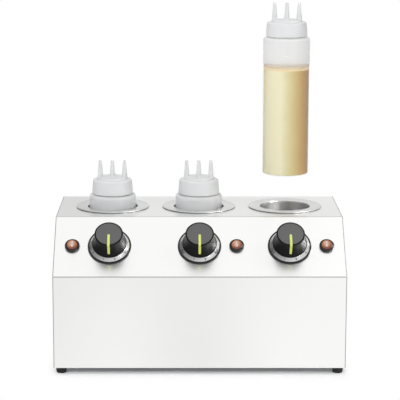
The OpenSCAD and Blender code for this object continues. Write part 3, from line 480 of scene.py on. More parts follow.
def moulded(name, colour_low, colour_high, grain, rough, bump_depth, **sockets):
    """Moulded plastic: noise with a grain in mm moves its colour, its roughness and a small bump."""
    made, tree, shader = material(name, colour_high, **sockets)
    place = add(tree, "ShaderNodeTexCoord").outputs["Object"]
    noise = add(tree, "ShaderNodeTexNoise", {"Vector": place, "Scale": 1 / (grain * MM), "Detail": 2.0})
    wear = add(tree, "ShaderNodeTexNoise", {"Vector": place, "Scale": WEAR_PER_M, "Detail": 3.0})
    spread = add(tree, "ShaderNodeMapRange", {
        "Value": wear.outputs[0], **NOISE_RANGE,
        "To Min": rough * WEAR_SPAN[0], "To Max": rough * WEAR_SPAN[1]})
    bump = add(tree, "ShaderNodeBump", {
        "Height": noise.outputs[0], "Strength": GRAIN_SHOWS, "Distance": bump_depth * MM})
    tone = add(tree, "ShaderNodeMix", {0: noise.outputs[0], 6: linear(colour_low), 7: linear(colour_high)},
               data_type="RGBA")
    tree.links.new(tone.outputs[2], shader.inputs["Base Color"])
    tree.links.new(spread.outputs[0], shader.inputs["Roughness"])
    tree.links.new(bump.outputs[0], shader.inputs["Normal"])
    return made


# Satin ABS: deep black in the flare's shade, with one soft gleam where the flare turns to the light.
knob_abs = moulded("satin_black_abs", "#040404", "#080808", 0.35, 0.34, 0.01, Specular_IOR_Level=0.16)
# Eroded ABS face: grey within the black edge, partly from its fine pits and partly painted light from the
# overhead lamp.
knob_face_painted_light = moulded("eroded_abs_with_painted_light", "#464646", "#5C5C5C", 0.3, 0.5, 0.03)
# Polished ABS: black with a thin bright line along each edge of the rims and bezels.
gloss_abs = moulded("gloss_black_abs", "#0C0C0D", "#121213", 0.6, 0.2, 0.01)
# Moulded rubber: matt black that grips the eye as a plain dark foot, without a gleam.
foot_rubber = moulded("black_rubber", "#0C0C0C", "#151515", 0.5, 0.7, 0.03)
# Cut silicone sheet: a dull grey rim that outlines each flange.
seal_silicone = moulded("grey_silicone", "#5E5E5E", "#6C6C6C", 0.6, 0.6, 0.02)
# Moulded PBT: an even, satin lime that stays bright against the black.
pointer_pbt = moulded("lime_pbt", "#C6CF64", "#D2DA76", 0.5, 0.42, 0.01)
for i in ORDER:
    dress(f"dial_rim_{i}", gloss_abs)
    dress(f"switch_body_{i}", gloss_abs)
for i in (1, 2, 3, 4):
    dress(f"foot_{i}", foot_rubber)
dress("well_seals", seal_silicone)
print("rims, bezels, feet and seals dressed")

# %% [markdown]
# ## What sits inside and below
# Nearly none of this shows, but the cabinet opens for service. Each piece has the metal or the moulding
# that such a warmer uses. The CAD shapes are right as they are, so they only get their finishes, and one
# function serves all the metals: a texture whose cells have the metal's own size and stretch.

# %% Metals
METAL_SPAN = (0.8, 1.2)


def metal(name, low, high, rough, scale, kind="ShaderNodeTexNoise"):
    """Metal whose tone and roughness follow one texture, with scale as its cells per metre on X, Y and Z."""
    made, tree, shader = material(name, high, Metallic=1.0)
    place = add(tree, "ShaderNodeTexCoord")
    cells = add(tree, "ShaderNodeMapping", {"Vector": place.outputs["Object"], "Scale": scale})
    pattern = add(tree, kind, {"Vector": cells.outputs[0], "Scale": 1.0})
    grey = pattern.outputs["Color"] if kind == "ShaderNodeTexVoronoi" else pattern.outputs[0]
    spread = add(tree, "ShaderNodeMapRange", {
        "Value": grey, "To Min": rough * METAL_SPAN[0], "To Max": rough * METAL_SPAN[1]})
    tone = add(tree, "ShaderNodeMix", {0: spread.outputs[0], 6: linear(low), 7: linear(high)},
               data_type="RGBA")
    tree.links.new(tone.outputs[2], shader.inputs["Base Color"])
    tree.links.new(spread.outputs[0], shader.inputs["Roughness"])
    return made


# Hot-dip galvanised sheet: a patchwork of zinc flowers, each with its own grey.
galvanised = metal("galvanised_steel", "#A2A6A9", "#D2D5D7", 0.45, (120, 120, 120), "ShaderNodeTexVoronoi")
# Zinc plate on pressed fasteners: an even, bluish satin.
zinc_plate = metal("zinc_plated_steel", "#B4B8BC", "#CDD1D4", 0.3, (400, 400, 400))
# Blued spring strip: a darker grey with a hard gleam.
spring_steel = metal("blued_spring_steel", "#8E9296", "#A6AAAE", 0.3, (300, 300, 300))
# Rolled aluminium: a warm grey with fine lines across its height.
mill_aluminium = metal("mill_finish_aluminium", "#A9A7A2", "#C6C4BF", 0.38, (60, 60, 1500))
# Drawn copper tube: a warm red shine, duller in patches.
drawn_copper = metal("drawn_copper", "#A8653F", "#CF8E68", 0.28, (90, 90, 90))
# Turned steel bar: bright, and broken up by the marks of the tool.
turned_shaft = metal("turned_bright_steel", "#A6A6A7", "#C4C4C5", 0.22, (1500, 1500, 1500))
# Polished brass: a yellow gleam on the inlet's pins.
bright_brass = metal("bright_brass", "#C0A45C", "#DCC482", 0.22, (200, 200, 200))
# Pressed phenolic resin: a dull, brownish grey.
phenolic = moulded("grey_phenolic", "#686662", "#7A7874", 0.5, 0.45, 0.02)
# Moulded nylon: black with a waxy satin.
nylon = moulded("black_nylon", "#0F0F0F", "#171717", 0.5, 0.42, 0.03)
# Glazed steatite: a cream ceramic under a clear glaze, which the coat gives.
steatite = moulded("glazed_steatite", "#E2DCCD", "#EDE8DC", 2.0, 0.2, 0.01,
                   Coat_Weight=0.4, Coat_Roughness=0.08)
print("seven metals and three inner mouldings made")

# %% Pieces inside and below
FINISHES = {
    "base_plate": galvanised, "well_nuts": zinc_plate, "thermostat_screws": zinc_plate,
    "foot_screws": zinc_plate, "housing_screws": zinc_plate, "bulb_clips": spring_steel,
    "power_inlet": nylon, "inlet_pins": bright_brass, "terminal_block": steatite}
for i in ORDER:
    FINISHES.update({f"heater_band_{i}": mill_aluminium, f"thermostat_{i}": phenolic,
                     f"capillary_{i}": drawn_copper, f"thermostat_shaft_{i}": turned_shaft})
for node, finish in FINISHES.items():
    dress(node, finish)
print("inner and lower pieces dressed:", len(FINISHES))

# %% [markdown]
# ## Scale rings
# The silver ring is an anodised aluminium bevel pressed into the black rim. It could be a bevelled disc,
# but an outline carried round keeps its cone exact, and the numbers that come next have to lie on it.

# %% Scale rings
SCALE_OUTER, SCALE_TOP, DIAL_HOLE = 28.8, 24.5, 21.0
SCALE_LOW, SCALE_HIGH, SCALE_EDGE = 2.2, 6.6, 0.3
SILVER_MEAN, SILVER_LOW, SILVER_HIGH = "#EAEAEA", "#BCBCBC", "#D8D8D8"
SPARKLES_PER_M, SILVER_ROUGH = 2500.0, (0.2, 0.3)

# Anodised aluminium, blasted before its bath: silver with strong lights and darks and a faint sparkle.
aluminium, tree, shader = material("anodised_aluminium", SILVER_MEAN, Metallic=1.0)
place = add(tree, "ShaderNodeTexCoord")
sparkle = add(tree, "ShaderNodeTexNoise", {
    "Vector": place.outputs["Object"], "Scale": SPARKLES_PER_M, "Detail": 2.0})
spread = add(tree, "ShaderNodeMapRange", {
    "Value": sparkle.outputs[0], "To Min": SILVER_ROUGH[0], "To Max": SILVER_ROUGH[1]})
tone = add(tree, "ShaderNodeMix", {0: sparkle.outputs[0], 6: linear(SILVER_LOW), 7: linear(SILVER_HIGH)},
           data_type="RGBA")
tree.links.new(tone.outputs[2], shader.inputs["Base Color"])
tree.links.new(spread.outputs[0], shader.inputs["Roughness"])

cone_start = (SCALE_OUTER, SCALE_LOW + SCALE_EDGE)
profile = outline([(DIAL_HOLE, SCALE_LOW, 0), (SCALE_OUTER, SCALE_LOW, 0), (*cone_start, 0.1),
                   (SCALE_TOP, SCALE_HIGH, 0.5), (DIAL_HOLE, SCALE_HIGH, 0.3)])
for i in ORDER:
    piece(f"dial_scale_{i}_bevel", [(on_slope(turned(profile), dial_centre[i]), True, True)], aluminium,
          "cabinet", [f"dial_scale_{i}"])

# %% [markdown]
# ## Numbers on the ring
# The numbers stand for the thermostat's steps: 1 to 9, spread evenly over the knob's travel and clockwise
# from the pointer's rest. They are printed. Each starts as flat text, is made a mesh, and is then laid on
# the cone, which an image could not do as sharply: its width runs round the dial and its height up the
# cone, with a hair's breadth of rise so that it shows.

# %% Numbers on the ring
DIGIT_H, DIGIT_EM, DIGIT_RISE, DIGIT_MID, DIGIT_WEIGHT = 3.4, 1.4, 0.05, 0.46, 0.07
MARKS, MARK_FIRST, MARK_LAST = 9, 18, 342

# Pad print: thin ink that gives the eye plain dark strokes, less shiny than the metal.
black_print, *_ = material("black_print", "#1A1A1A", Roughness=0.5)
cone_low = np.array(cone_start)
cone_run = np.array((SCALE_TOP, SCALE_HIGH)) - cone_low
cone_length = np.linalg.norm(cone_run)
cone_out = np.array((-cone_run[1], cone_run[0])) / -cone_length


def digit_points(text, angle):
    """Flat (x, y) of a number to the cone: turn = angle + x / r, and y up the cone from its middle."""
    curve = bpy.data.curves.new("digit", "FONT")
    curve.body, curve.size, curve.offset = text, DIGIT_H * DIGIT_EM, DIGIT_WEIGHT
    curve.align_x, curve.align_y = "CENTER", "CENTER"
    flat = bpy.data.objects.new("digit", curve)
    mesh = bpy.data.meshes.new_from_object(flat)
    co = np.empty(len(mesh.vertices) * 3)
    mesh.vertices.foreach_get("co", co)
    x, y, _ = co.reshape(-1, 3).T
    faces = [tuple(face.vertices) for face in mesh.polygons]
    bpy.data.objects.remove(flat)
    bpy.data.curves.remove(curve)
    bpy.data.meshes.remove(mesh)
    up = (DIGIT_MID * cone_length + y)[:, None] * cone_run / cone_length + cone_low + cone_out * DIGIT_RISE
    turn = -math.pi / 2 - math.radians(angle) + x / up[:, 0]
    return np.stack([up[:, 0] * np.cos(turn), up[:, 0] * np.sin(turn), up[:, 1]], -1) * MM, faces


points, faces, first = [], [], 0
for k, angle in enumerate(np.linspace(MARK_FIRST, MARK_LAST, MARKS)):
    place, shapes = digit_points(str(k + 1), angle)
    points.append(place)
    faces += [tuple(v + first for v in shape) for shape in shapes]
    first += len(place)
for i in ORDER:
    mesh = bpy.data.meshes.new(f"dial_numbers_{i}")
    mesh.from_pydata(on_slope(np.concatenate(points), dial_centre[i]).tolist(), [], faces)
    dressed(f"dial_numbers_{i}", mesh, black_print, "cabinet")

# %% [markdown]
# ## Knobs
# A knob flares from its cap down to a wide foot, so that fingers find it without looking. The flare could
# be a curve drawn by hand; as a power curve it has one number that sets how quickly it widens. A straight
# band under the cap and a short lip at the foot frame it. Inside, a boss grips the shaft, drawn here in
# the same turned outline, and the cap's face is an inlay, so that it can have its own grain and a lighter
# grey, which is partly painted light from above.

# %% Knobs
KNOB_BASE, KNOB_TOP, KNOB_BAND = 7.0, 31.5, 3.2
KNOB_FOOT_R, KNOB_CAP_R, KNOB_FACE_R, FLARE_POWER = 24.9, 20.5, 18.4, 1.9
KNOB_WALL, BOSS_R, BOSS_LOW, SHAFT_R, LIP_H = 2.4, 6.0, 1.0, 3.05, 1.1
FLARE_ROWS, FLARE_INSET, LIP_STEP, BAND_STEP = 18, 0.15, 0.35, 0.2
FACE_SINK, FACE_PLAY = 0.4, 0.1


def flare(h):
    """Radius of the flare at a height: the cap's radius plus the foot's excess times f to a power,
    where f falls from 1 at the foot to 0 at the band."""
    f = (KNOB_TOP - KNOB_BAND - h) / (KNOB_TOP - KNOB_BAND - KNOB_BASE)
    return KNOB_CAP_R + (KNOB_FOOT_R - KNOB_CAP_R) * np.clip(f, 0, 1) ** FLARE_POWER


flare_h = np.linspace(KNOB_BASE + LIP_H + LIP_STEP, KNOB_TOP - KNOB_BAND - BAND_STEP, FLARE_ROWS)
ceiling, hollow_r = KNOB_TOP - KNOB_WALL, KNOB_CAP_R - KNOB_WALL
knob_inside = [
    (0, ceiling, 0), (SHAFT_R, ceiling, 0), (SHAFT_R, KNOB_BASE + BOSS_LOW, 0),
    (BOSS_R, KNOB_BASE + BOSS_LOW, 0.3), (BOSS_R, ceiling, 0.5), (hollow_r, ceiling, 0.5),
    (hollow_r, KNOB_BASE, 0.3)]
knob_foot = [(KNOB_FOOT_R, KNOB_BASE, 0.3), (KNOB_FOOT_R, KNOB_BASE + LIP_H, 0.3)]
knob_flare = [(r, h, 0.05) for r, h in zip(flare(flare_h) - FLARE_INSET, flare_h)]
knob_cap = [
    (KNOB_CAP_R - FLARE_INSET, KNOB_TOP - KNOB_BAND, 0), (KNOB_CAP_R, KNOB_TOP - KNOB_BAND + BAND_STEP, 0.1),
    (KNOB_CAP_R, KNOB_TOP, 0.8), (KNOB_FACE_R, KNOB_TOP, 0.1), (KNOB_FACE_R, KNOB_TOP - FACE_SINK, 0),
    (0, KNOB_TOP - FACE_SINK, 0)]
knob_profile = outline(knob_inside + knob_foot + knob_flare + knob_cap, 5)
face_profile = outline([
    (0, KNOB_TOP - FACE_SINK, 0), (KNOB_FACE_R - FACE_PLAY, KNOB_TOP - FACE_SINK, 0),
    (KNOB_FACE_R - FACE_PLAY, KNOB_TOP, 0.15), (0, KNOB_TOP, 0)])
for i in ORDER:
    piece(f"knob_{i}_moulding", [(on_slope(turned(knob_profile), dial_centre[i]), False, True)],
          knob_abs, f"knob_{i}", [f"knob_{i}"], sharp=30)
    piece(f"knob_{i}_face", [(on_slope(turned(face_profile), dial_centre[i]), False, True)], knob_face_painted_light,
          f"knob_{i}")

# %% [markdown]
# ## Pointers
# The lime pointer is a separate moulding let into the knob. It runs from near the cap's middle over the
# edge and down the flare, and it follows the knob's outline at a constant height above it. A slab could be
# bent over the knob with modifiers; here its path is the knob's own outline, and its cross-section, a slab
# with rounded shoulders, is carried along it.

# %% The pointer's path and width
POINTER_HALF, POINTER_PROUD, POINTER_SINK = 1.75 * MM, 0.3, 0.6
POINTER_START, POINTER_END_H, POINTER_NEAR = 1.0, 13.5, 0.3
TOO_NEAR, TIP_ROWS = 0.02 * MM, 6

down = [(r, h, 0.05) for r, h in zip(flare(flare_h[::-1]), flare_h[::-1]) if h > POINTER_END_H + POINTER_NEAR]
path = outline([(POINTER_START, KNOB_TOP, 0), (KNOB_CAP_R, KNOB_TOP, 0.8),
                (KNOB_CAP_R, KNOB_TOP - KNOB_BAND, 0.3), *down,
                (float(flare(POINTER_END_H)), POINTER_END_H, 0)], 4)
apart = np.linalg.norm(np.diff(path, axis=0), axis=1) > TOO_NEAR
path = path[np.concatenate([[True], apart])]
near_start = np.linspace(0, 1, TIP_ROWS + 2)[1:-1, None] ** 2 * 2 * POINTER_HALF * (1, 0)
path = np.concatenate([path[:1], path[:1] + near_start, path[1:]])

# The two ends are half circles: at a distance d from the end, half the width is the root of
# 1 - (1 - d / half)^2, times half. On the cap d is counted from the start, on the side from the end.
step = np.gradient(path, axis=0)
to_end = np.cumsum(np.linalg.norm(step[::-1], axis=1))[::-1]
on_side = path[:, 1] < (KNOB_TOP - 1) * MM
gone = np.clip(np.where(on_side, to_end, path[:, 0] - path[0, 0]) / POINTER_HALF, 0, 1)
half_width = POINTER_HALF * np.sqrt(1 - (1 - gone) ** 2)
print("the pointer's path has", len(path), "rows and is", round(to_end[0] / MM, 1), "mm long")

# %% Pointers
SHOULDER = ((1, 0.1), (0.93, 0.24), (0.8, POINTER_PROUD))

section = np.array([(-1, -POINTER_SINK), *((-x, out) for x, out in SHOULDER), *SHOULDER[::-1],
                    (1, -POINTER_SINK)])
normal = np.stack([-step[:, 1], step[:, 0]], axis=-1)
normal /= np.linalg.norm(normal, axis=1, keepdims=True)
ring = path[:, None] + normal[:, None] * section[None, :, 1:] * MM
x = half_width[:, None] * section[None, :, 0]
# Round the knob a point falls back by R - sqrt(R^2 - x^2), and on the cap it bends as its edge does.
bend_r = np.maximum(ring[..., 0], KNOB_CAP_R * MM)
y = -(ring[..., 0] - (bend_r - np.sqrt(bend_r ** 2 - x ** 2)))
strip = closed_ends(np.stack([x, y, ring[..., 1]], axis=-1))
for i in ORDER:
    piece(f"knob_pointer_{i}_insert", [(on_slope(strip, dial_centre[i]), False, True)], pointer_pbt,
          f"knob_{i}", [f"knob_pointer_{i}"], sharp=40)

# %% [markdown]
# ## Lit rockers
# A rocker is moulded in clear amber polycarbonate over a lamp, ribbed inside so that the lamp is spread.
# It gives the eye a milky glow with a darker, redder edge. Real glass-like depth would need many bounces
# in so small a piece, so the glow is painted light in its colour: the colour follows the distance from the
# lamp's place, pale near it and darker, redder away from it, which also paints shade towards its lower edge.

# %% Amber polycarbonate
LAMP_AT = (-0.1, 0.25, 0.0)
RIBS, RIB_WAVER, RIB_SHOWS = 1.6, 0.6, 0.12

amber, tree, shader = material("amber_polycarbonate", "#B4552B", Roughness=0.16, IOR=1.585,
                               Coat_Weight=0.25, Coat_Roughness=0.05)
place = add(tree, "ShaderNodeUVMap", uv_map="lens")
painted_glow_reach = add(tree, "ShaderNodeVectorMath", {0: place.outputs[0], 1: LAMP_AT}, operation="DISTANCE")
ribs = add(tree, "ShaderNodeTexWave", {"Vector": place.outputs[0], "Scale": RIBS, "Distortion": RIB_WAVER},
           bands_direction="X")
glow = add(tree, "ShaderNodeMath", {0: ribs.outputs["Fac"], 1: RIB_SHOWS, 2: painted_glow_reach.outputs["Value"]},
           operation="MULTIPLY_ADD")
# The ramp paints the glow and the shade into the amber's colour.
shade = add(tree, "ShaderNodeValToRGB", {0: glow.outputs[0]})
stops = shade.color_ramp.elements
stops[0].color, stops[-1].color = linear("#D2B8AC"), linear("#5E2A10")
for at, colour in ((0.45, "#B98A70"), (0.85, "#924A22")):
    stops.new(at).color = linear(colour)
tree.links.new(shade.outputs[0], shader.inputs["Base Color"])
# Pad print in a warm white: small marks that show pale, but do not shine.
white_print, *_ = material("white_print", "#E2DAD6", Roughness=0.4)
print("amber and its print made")

# %% [markdown]
# ## The rocker's shape
# The rocker's top is a shallow V, so that one side lies flush while the other stands up, and its sides
# follow a ball about the pivot, so that it clears the bezel at every angle. Cutting a ball with two planes
# would do it too; a grid of radius and turn gives even quads and blends the V's valley in the same step.

# %% The rocker's shape
ROCKER_R, ROCKER_WAIST, ROCKER_LOW = 8.4 * MM, 3.0 * MM, 4.0 * MM
ROCKER_TILT, ROCKER_STEPS, ROCKER_ROWS = math.radians(7), 96, 14
TOP_SHARE, RIM_ROUND = 0.97, 0.25 * MM
BLEND_R, BLEND_SINK, MARK_RISE = 1.2 * MM, 0.7, 0.06 * MM


def rocker_top(y):
    """Height of the V at a distance y from its valley: it climbs with the root of y^2 + blend^2."""
    return ROCKER_WAIST + math.tan(ROCKER_TILT) * (np.hypot(y, BLEND_R) - BLEND_R * BLEND_SINK)


# The top ends where its slanting line h = waist + slant r meets the ball r^2 + h^2 = R^2, which makes r
# the larger root of (1 + slant^2) r^2 + 2 waist slant r + waist^2 - R^2 = 0.
turn = np.arange(ROCKER_STEPS) / ROCKER_STEPS * 2 * math.pi
slant = math.tan(ROCKER_TILT) * np.abs(np.sin(turn))
edge = (-ROCKER_WAIST * slant + np.sqrt((ROCKER_WAIST * slant) ** 2
        - (1 + slant ** 2) * (ROCKER_WAIST ** 2 - ROCKER_R ** 2))) / (1 + slant ** 2)
reach = np.linspace(0, TOP_SHARE, ROCKER_ROWS)[:, None] * edge
top = np.stack([reach * np.cos(turn), reach * np.sin(turn), rocker_top(reach * np.sin(turn))], -1)
rim_h = ROCKER_WAIST + slant * edge - RIM_ROUND
side_h = rim_h + (-ROCKER_LOW - rim_h) * np.linspace(0, 1, ROCKER_ROWS)[:, None]
side_r = np.sqrt(ROCKER_R ** 2 - side_h ** 2)
side = np.stack([side_r * np.cos(turn), side_r * np.sin(turn), side_h], -1)
rocker_grid = np.concatenate([top, side, side[-1:] * (0, 0, 1)])
print("a rocker is a grid of", rocker_grid.shape[:2], "points")

# %% [markdown]
# ## Rockers and their marks
# The marks are printed on the V: a bar for on and a ring for off. Each is a thin grid at the V's own
# height plus a hair's breadth, so that it bends with the valley. The rocker at rest leans up the slope.

# %% Rockers and their marks
BAR_HALF_W, BAR_HALF_L, BAR_UP = 0.45 * MM, 1.5 * MM, 4.0 * MM
RING_R, RING_T, RING_UP = 1.35 * MM, 0.75 * MM, -0.9 * MM


def tilted(points):
    """Turns points about the rocker's pivot from level to its rest, which leans up the slope."""
    c, s = math.cos(ROCKER_TILT), math.sin(ROCKER_TILT)
    x, y, z = np.moveaxis(points, -1, 0)
    return np.stack([x, y * c - z * s, y * s + z * c + ROCKER_PIVOT_H], -1)


def map_lens(mesh, centre):
    """UV of a rocker: across and up the slope from its middle, over its radius."""
    place = corner_places(mesh, centre)
    flat = np.stack([place[:, 0], place @ SLOPE_UP], axis=-1) / ROCKER_R
    mesh.uv_layers.new(name="lens").data.foreach_set("uv", flat.ravel())


bar_x, bar_y = np.meshgrid(np.linspace(-1, 1, 3) * BAR_HALF_W, BAR_UP + np.linspace(-1, 1, 5) * BAR_HALF_L)
spoke = (RING_R + np.linspace(-0.5, 0.5, 3) * RING_T)[:, None]
ring_x, ring_y = spoke * np.cos(turn[::3]), RING_UP + spoke * np.sin(turn[::3])
bar, off_ring = (np.stack([x, y, rocker_top(y) + MARK_RISE], -1)
                 for x, y in ((bar_x, bar_y), (ring_x, ring_y)))
for i in ORDER:
    made = piece(f"switch_rocker_{i}_lens", [(on_slope(tilted(rocker_grid), switch_centre[i]), False, True)],
                 amber, f"rocker_{i}", [f"switch_rocker_{i}"], sharp=40)
    map_lens(made.data, switch_centre[i])
    piece(f"switch_marks_{i}", [(on_slope(tilted(bar), switch_centre[i]), False, False),
                                (on_slope(tilted(off_ring), switch_centre[i]), False, True)], white_print,
          f"rocker_{i}")

# %% [markdown]
# ## Cloudy polyethylene
# Bottles and caps are low-density polyethylene. It scatters light, so a thin wall veils what lies behind
# it and a thicker one hides it. A true scattering volume would be slow and grainy in so thin a wall, so
# the veil is the surface's alpha: each wall has two surfaces, and both add to it. Where sauce wets the
# wall from inside, less light scatters and the sauce's own colour shows.

# %% Cloudy polyethylene
FLOW_PER_M, FLOW_SHOWS, FLOW_DEPTH, FLOW_ROUGH = 90.0, 0.15, 0.1 * MM, (-0.05, 0.07)
SAUCE_H, WET_RISE, WET_EDGE, WET_ALPHA = 158.0, 3.5 * MM, 7 * MM, 0.07

sauce_base = stand("bottle_body_3")
sauce_top = sauce_base[2] + SAUCE_H * MM


def polyethylene(name, colour, alpha, rough, wet=False):
    """Cloudy plastic: white scattering with an alpha per surface and slow flow marks in its roughness.
    Where it is wet, up to a little over the sauce, its alpha falls so that it shows what touches it."""
    made, tree, shader = material(name, colour, Alpha=alpha, IOR=1.51)
    place = add(tree, "ShaderNodeTexCoord").outputs["Object"]
    flow = add(tree, "ShaderNodeTexNoise", {"Vector": place, "Scale": FLOW_PER_M, "Detail": 3.0})
    spread = add(tree, "ShaderNodeMapRange", {
        "Value": flow.outputs[0], **NOISE_RANGE,
        "To Min": rough + FLOW_ROUGH[0], "To Max": rough + FLOW_ROUGH[1]})
    bump = add(tree, "ShaderNodeBump", {
        "Height": flow.outputs[0], "Strength": FLOW_SHOWS, "Distance": FLOW_DEPTH})
    tree.links.new(spread.outputs[0], shader.inputs["Roughness"])
    tree.links.new(bump.outputs[0], shader.inputs["Normal"])
    if wet:
        height = add(tree, "ShaderNodeSeparateXYZ", {0: place})
        dry = add(tree, "ShaderNodeMapRange", {
            "Value": height.outputs[2], "From Min": sauce_top + WET_RISE,
            "From Max": sauce_top + WET_RISE + WET_EDGE, "To Min": WET_ALPHA, "To Max": alpha})
        tree.links.new(dry.outputs[0], shader.inputs["Alpha"])
    return made


# Blow-moulded LDPE: a milky veil with a soft sheen; the filled bottle's is wetted clear by its sauce.
bottle_ldpe = polyethylene("cloudy_blown_ldpe", "#F3F4F5", 0.42, 0.34)
filled_ldpe = polyethylene("cloudy_blown_ldpe_filled", "#F3F4F5", 0.36, 0.34, wet=True)
# Injection-moulded LDPE: thicker and whiter, so that hardly anything shows through the caps.
cap_ldpe = polyethylene("cloudy_moulded_ldpe", "#E5E6E7", 0.82, 0.38)
print("the sauce wets its bottle up to", round(sauce_top + WET_RISE, 4), "m")

# %% [markdown]
# ## Bottles
# A bottle is one thin closed shell: base with a push-up, heel, wall, shoulder and a neck whose thread is
# a ridge that climbs one pitch per turn. A ridge swept along a helix would need joining to the neck. As a
# change of the neck's radius that depends on both the height and the turn, it is part of the same grid.

# %% The bottle's outline
BOTTLE_R, BOTTLE_WALL, PUSH_UP, BOTTLE_STEPS = 35.0, 1.2, 2.0, 144
SHOULDER_H, SHOULDER_R, HEEL_R = 205.5, 4.0, 3.0
NECK_R, NECK_TOP, NECK_ROW, NECK_SPARE = 26.6, 226.3, 0.4, 1.5
THREAD_LOW, THREAD_HIGH = 209.5, 224.0
INSIDE_HEEL, HEEL_RUN = 2.4, 9.6

inner_r, inner_neck = BOTTLE_R - BOTTLE_WALL, NECK_R - BOTTLE_WALL
below = [(0, PUSH_UP, 0), (BOTTLE_R - 9, PUSH_UP, 1), (BOTTLE_R - 6, 0, 1), (BOTTLE_R, 0, HEEL_R),
         (BOTTLE_R, SHOULDER_H, SHOULDER_R), (NECK_R, SHOULDER_H, 0.8)]
above = [(NECK_R, NECK_TOP, 0.4), (inner_neck, NECK_TOP, 0.4), (inner_neck, SHOULDER_H - BOTTLE_WALL, 1),
         (inner_r, SHOULDER_H - BOTTLE_WALL, SHOULDER_R - 1), (inner_r, BOTTLE_WALL, INSIDE_HEEL),
         (inner_r - HEEL_RUN, BOTTLE_WALL + PUSH_UP, 1), (0, BOTTLE_WALL + PUSH_UP, 0)]
neck_rows = [(NECK_R, h, 0) for h in np.arange(THREAD_LOW - NECK_SPARE, THREAD_HIGH + NECK_SPARE, NECK_ROW)]
shell = turned(outline(below + neck_rows + above, 5), BOTTLE_STEPS)
print("a bottle is a grid of", shell.shape[:2], "points")

# %% Thread and bottles
THREAD_DEPTH, THREAD_PITCH, THREAD_FADE, RIDGE_HALF, ON_NECK = 0.8, 6.0, 2.0, 0.22, 0.1

# The ridge is 1 where height / pitch minus the turn is half a whole number, and falls smoothly to 0
# within a share of the pitch; it also fades at the thread's two ends.
r, h = np.hypot(shell[..., 0], shell[..., 1]) / MM, shell[..., 2] / MM
neck = (abs(r - NECK_R) < ON_NECK) & (h > THREAD_LOW - THREAD_FADE) & (h < THREAD_HIGH + THREAD_FADE)
climb = h / THREAD_PITCH - np.arctan2(shell[..., 1], shell[..., 0]) / (2 * math.pi)
ridge = np.clip(1 - abs(climb % 1 - 0.5) / RIDGE_HALF, 0, 1)
ridge = ridge * ridge * (3 - 2 * ridge)
ridge *= np.clip((h - THREAD_LOW) / THREAD_FADE, 0, 1) * np.clip((THREAD_HIGH - h) / THREAD_FADE, 0, 1)
shell[..., :2] *= (1 + np.where(neck, THREAD_DEPTH / NECK_R * ridge, 0))[..., None]
for i in ORDER:
    plastic = filled_ldpe if i == 3 else bottle_ldpe
    piece(f"bottle_body_{i}_blown", [(shell + stand(f"bottle_body_{i}"), False, True)], plastic,
          f"bottle_{i}", [f"bottle_body_{i}"], sharp=50)

# %% [markdown]
# ## Caps with three nozzles
# The cap is a skirt over the neck, a raised disc and three tapering nozzles in a row, each with a soft
# root where the moulding's radius runs into the disc and a small hole at its tip. Joining them with a
# Boolean would leave ragged faces at the roots; as closed grids that sink into the disc they need no cut.

# %% Caps
CAP_LOW_R, CAP_TOP_R, CAP_ROUND, CAP_LIP = 30.8, 29.2, 2.5, 1.6
CAP_LOW_H, CAP_TOP_H, DISC_TOP_H = 207.0, 228.0, 231.4
CAP_INNER_R, CAP_WALL, DISC_R, DISC_SPREAD = 27.8, 1.4, 22.5, 0.8
NOZZLE_STEP, NOZZLE_TOP_H, NOZZLE_STEPS = 18.2, 256.0, 48
NOZZLE_ROOT_R, NOZZLE_TIP_R, NOZZLE_HOLE_R, ROOT_SPREAD, ROOT_SINK = 4.1, 2.2, 0.9, 1.2, 0.2

cap_profile = outline([
    (0, DISC_TOP_H - CAP_WALL, 0), (DISC_R - CAP_WALL, DISC_TOP_H - CAP_WALL, 0.5),
    (DISC_R - CAP_WALL, CAP_TOP_H - CAP_WALL, 0.3), (CAP_INNER_R, CAP_TOP_H - CAP_WALL, 1),
    (CAP_INNER_R, CAP_LOW_H, 0.2), (CAP_LOW_R, CAP_LOW_H, 0.5), (CAP_LOW_R, CAP_LOW_H + CAP_LIP, 0.4),
    (CAP_TOP_R, CAP_TOP_H, CAP_ROUND), (DISC_R + DISC_SPREAD, CAP_TOP_H, 0.8), (DISC_R, DISC_TOP_H, 1.4),
    (0, DISC_TOP_H, 0)])
nozzle_profile = outline([
    (NOZZLE_ROOT_R + ROOT_SPREAD, DISC_TOP_H - ROOT_SINK, 0), (NOZZLE_ROOT_R, DISC_TOP_H + 0.1, 1.1),
    (NOZZLE_TIP_R, NOZZLE_TOP_H, 0.2), (NOZZLE_HOLE_R, NOZZLE_TOP_H, 0.15),
    (NOZZLE_ROOT_R - 1, DISC_TOP_H - ROOT_SINK, 0)])
for i in ORDER:
    centre = stand(f"bottle_cap_{i}", at_top=True) - (0, 0, NOZZLE_TOP_H * MM)
    grids = [(turned(cap_profile) + centre, False, True)]
    for k in (-1, 0, 1):
        nozzle = turned(nozzle_profile, NOZZLE_STEPS) + (k * NOZZLE_STEP * MM, 0, 0)
        grids.append((nozzle + centre, True, True))
    piece(f"bottle_cap_{i}_moulding", grids, cap_ldpe, f"cap_{i}", [f"bottle_cap_{i}"])

# %% [markdown]
# ## Sauce
# The sauce fills the third bottle to below its shoulder. A fluid simulation would only find its level, so
# it is drawn: it touches the wall all round, so its outline is the wall's inner one with a hair's breadth
# of room, and its surface creeps up the wall in a meniscus. A ramp across the bottle paints shade into its
# colour, pale on the left and amber on the right, as light falling from the left would leave it; its top
# surface has a tone of its own, and noise makes the border waver.

# %% Sauce
SWIRLS_PER_M, SWIRL_WIDTH = 12.0, 0.012
LIT_SIDE_X, SHADED_SIDE_X = -0.029, 0.041
SKIN_LOW, SKIN_HIGH, SKIN_TONE = -0.4 * MM, -0.1 * MM, "#E9D3A0"
SAUCE_PLAY, MENISCUS = 0.05, 1.2

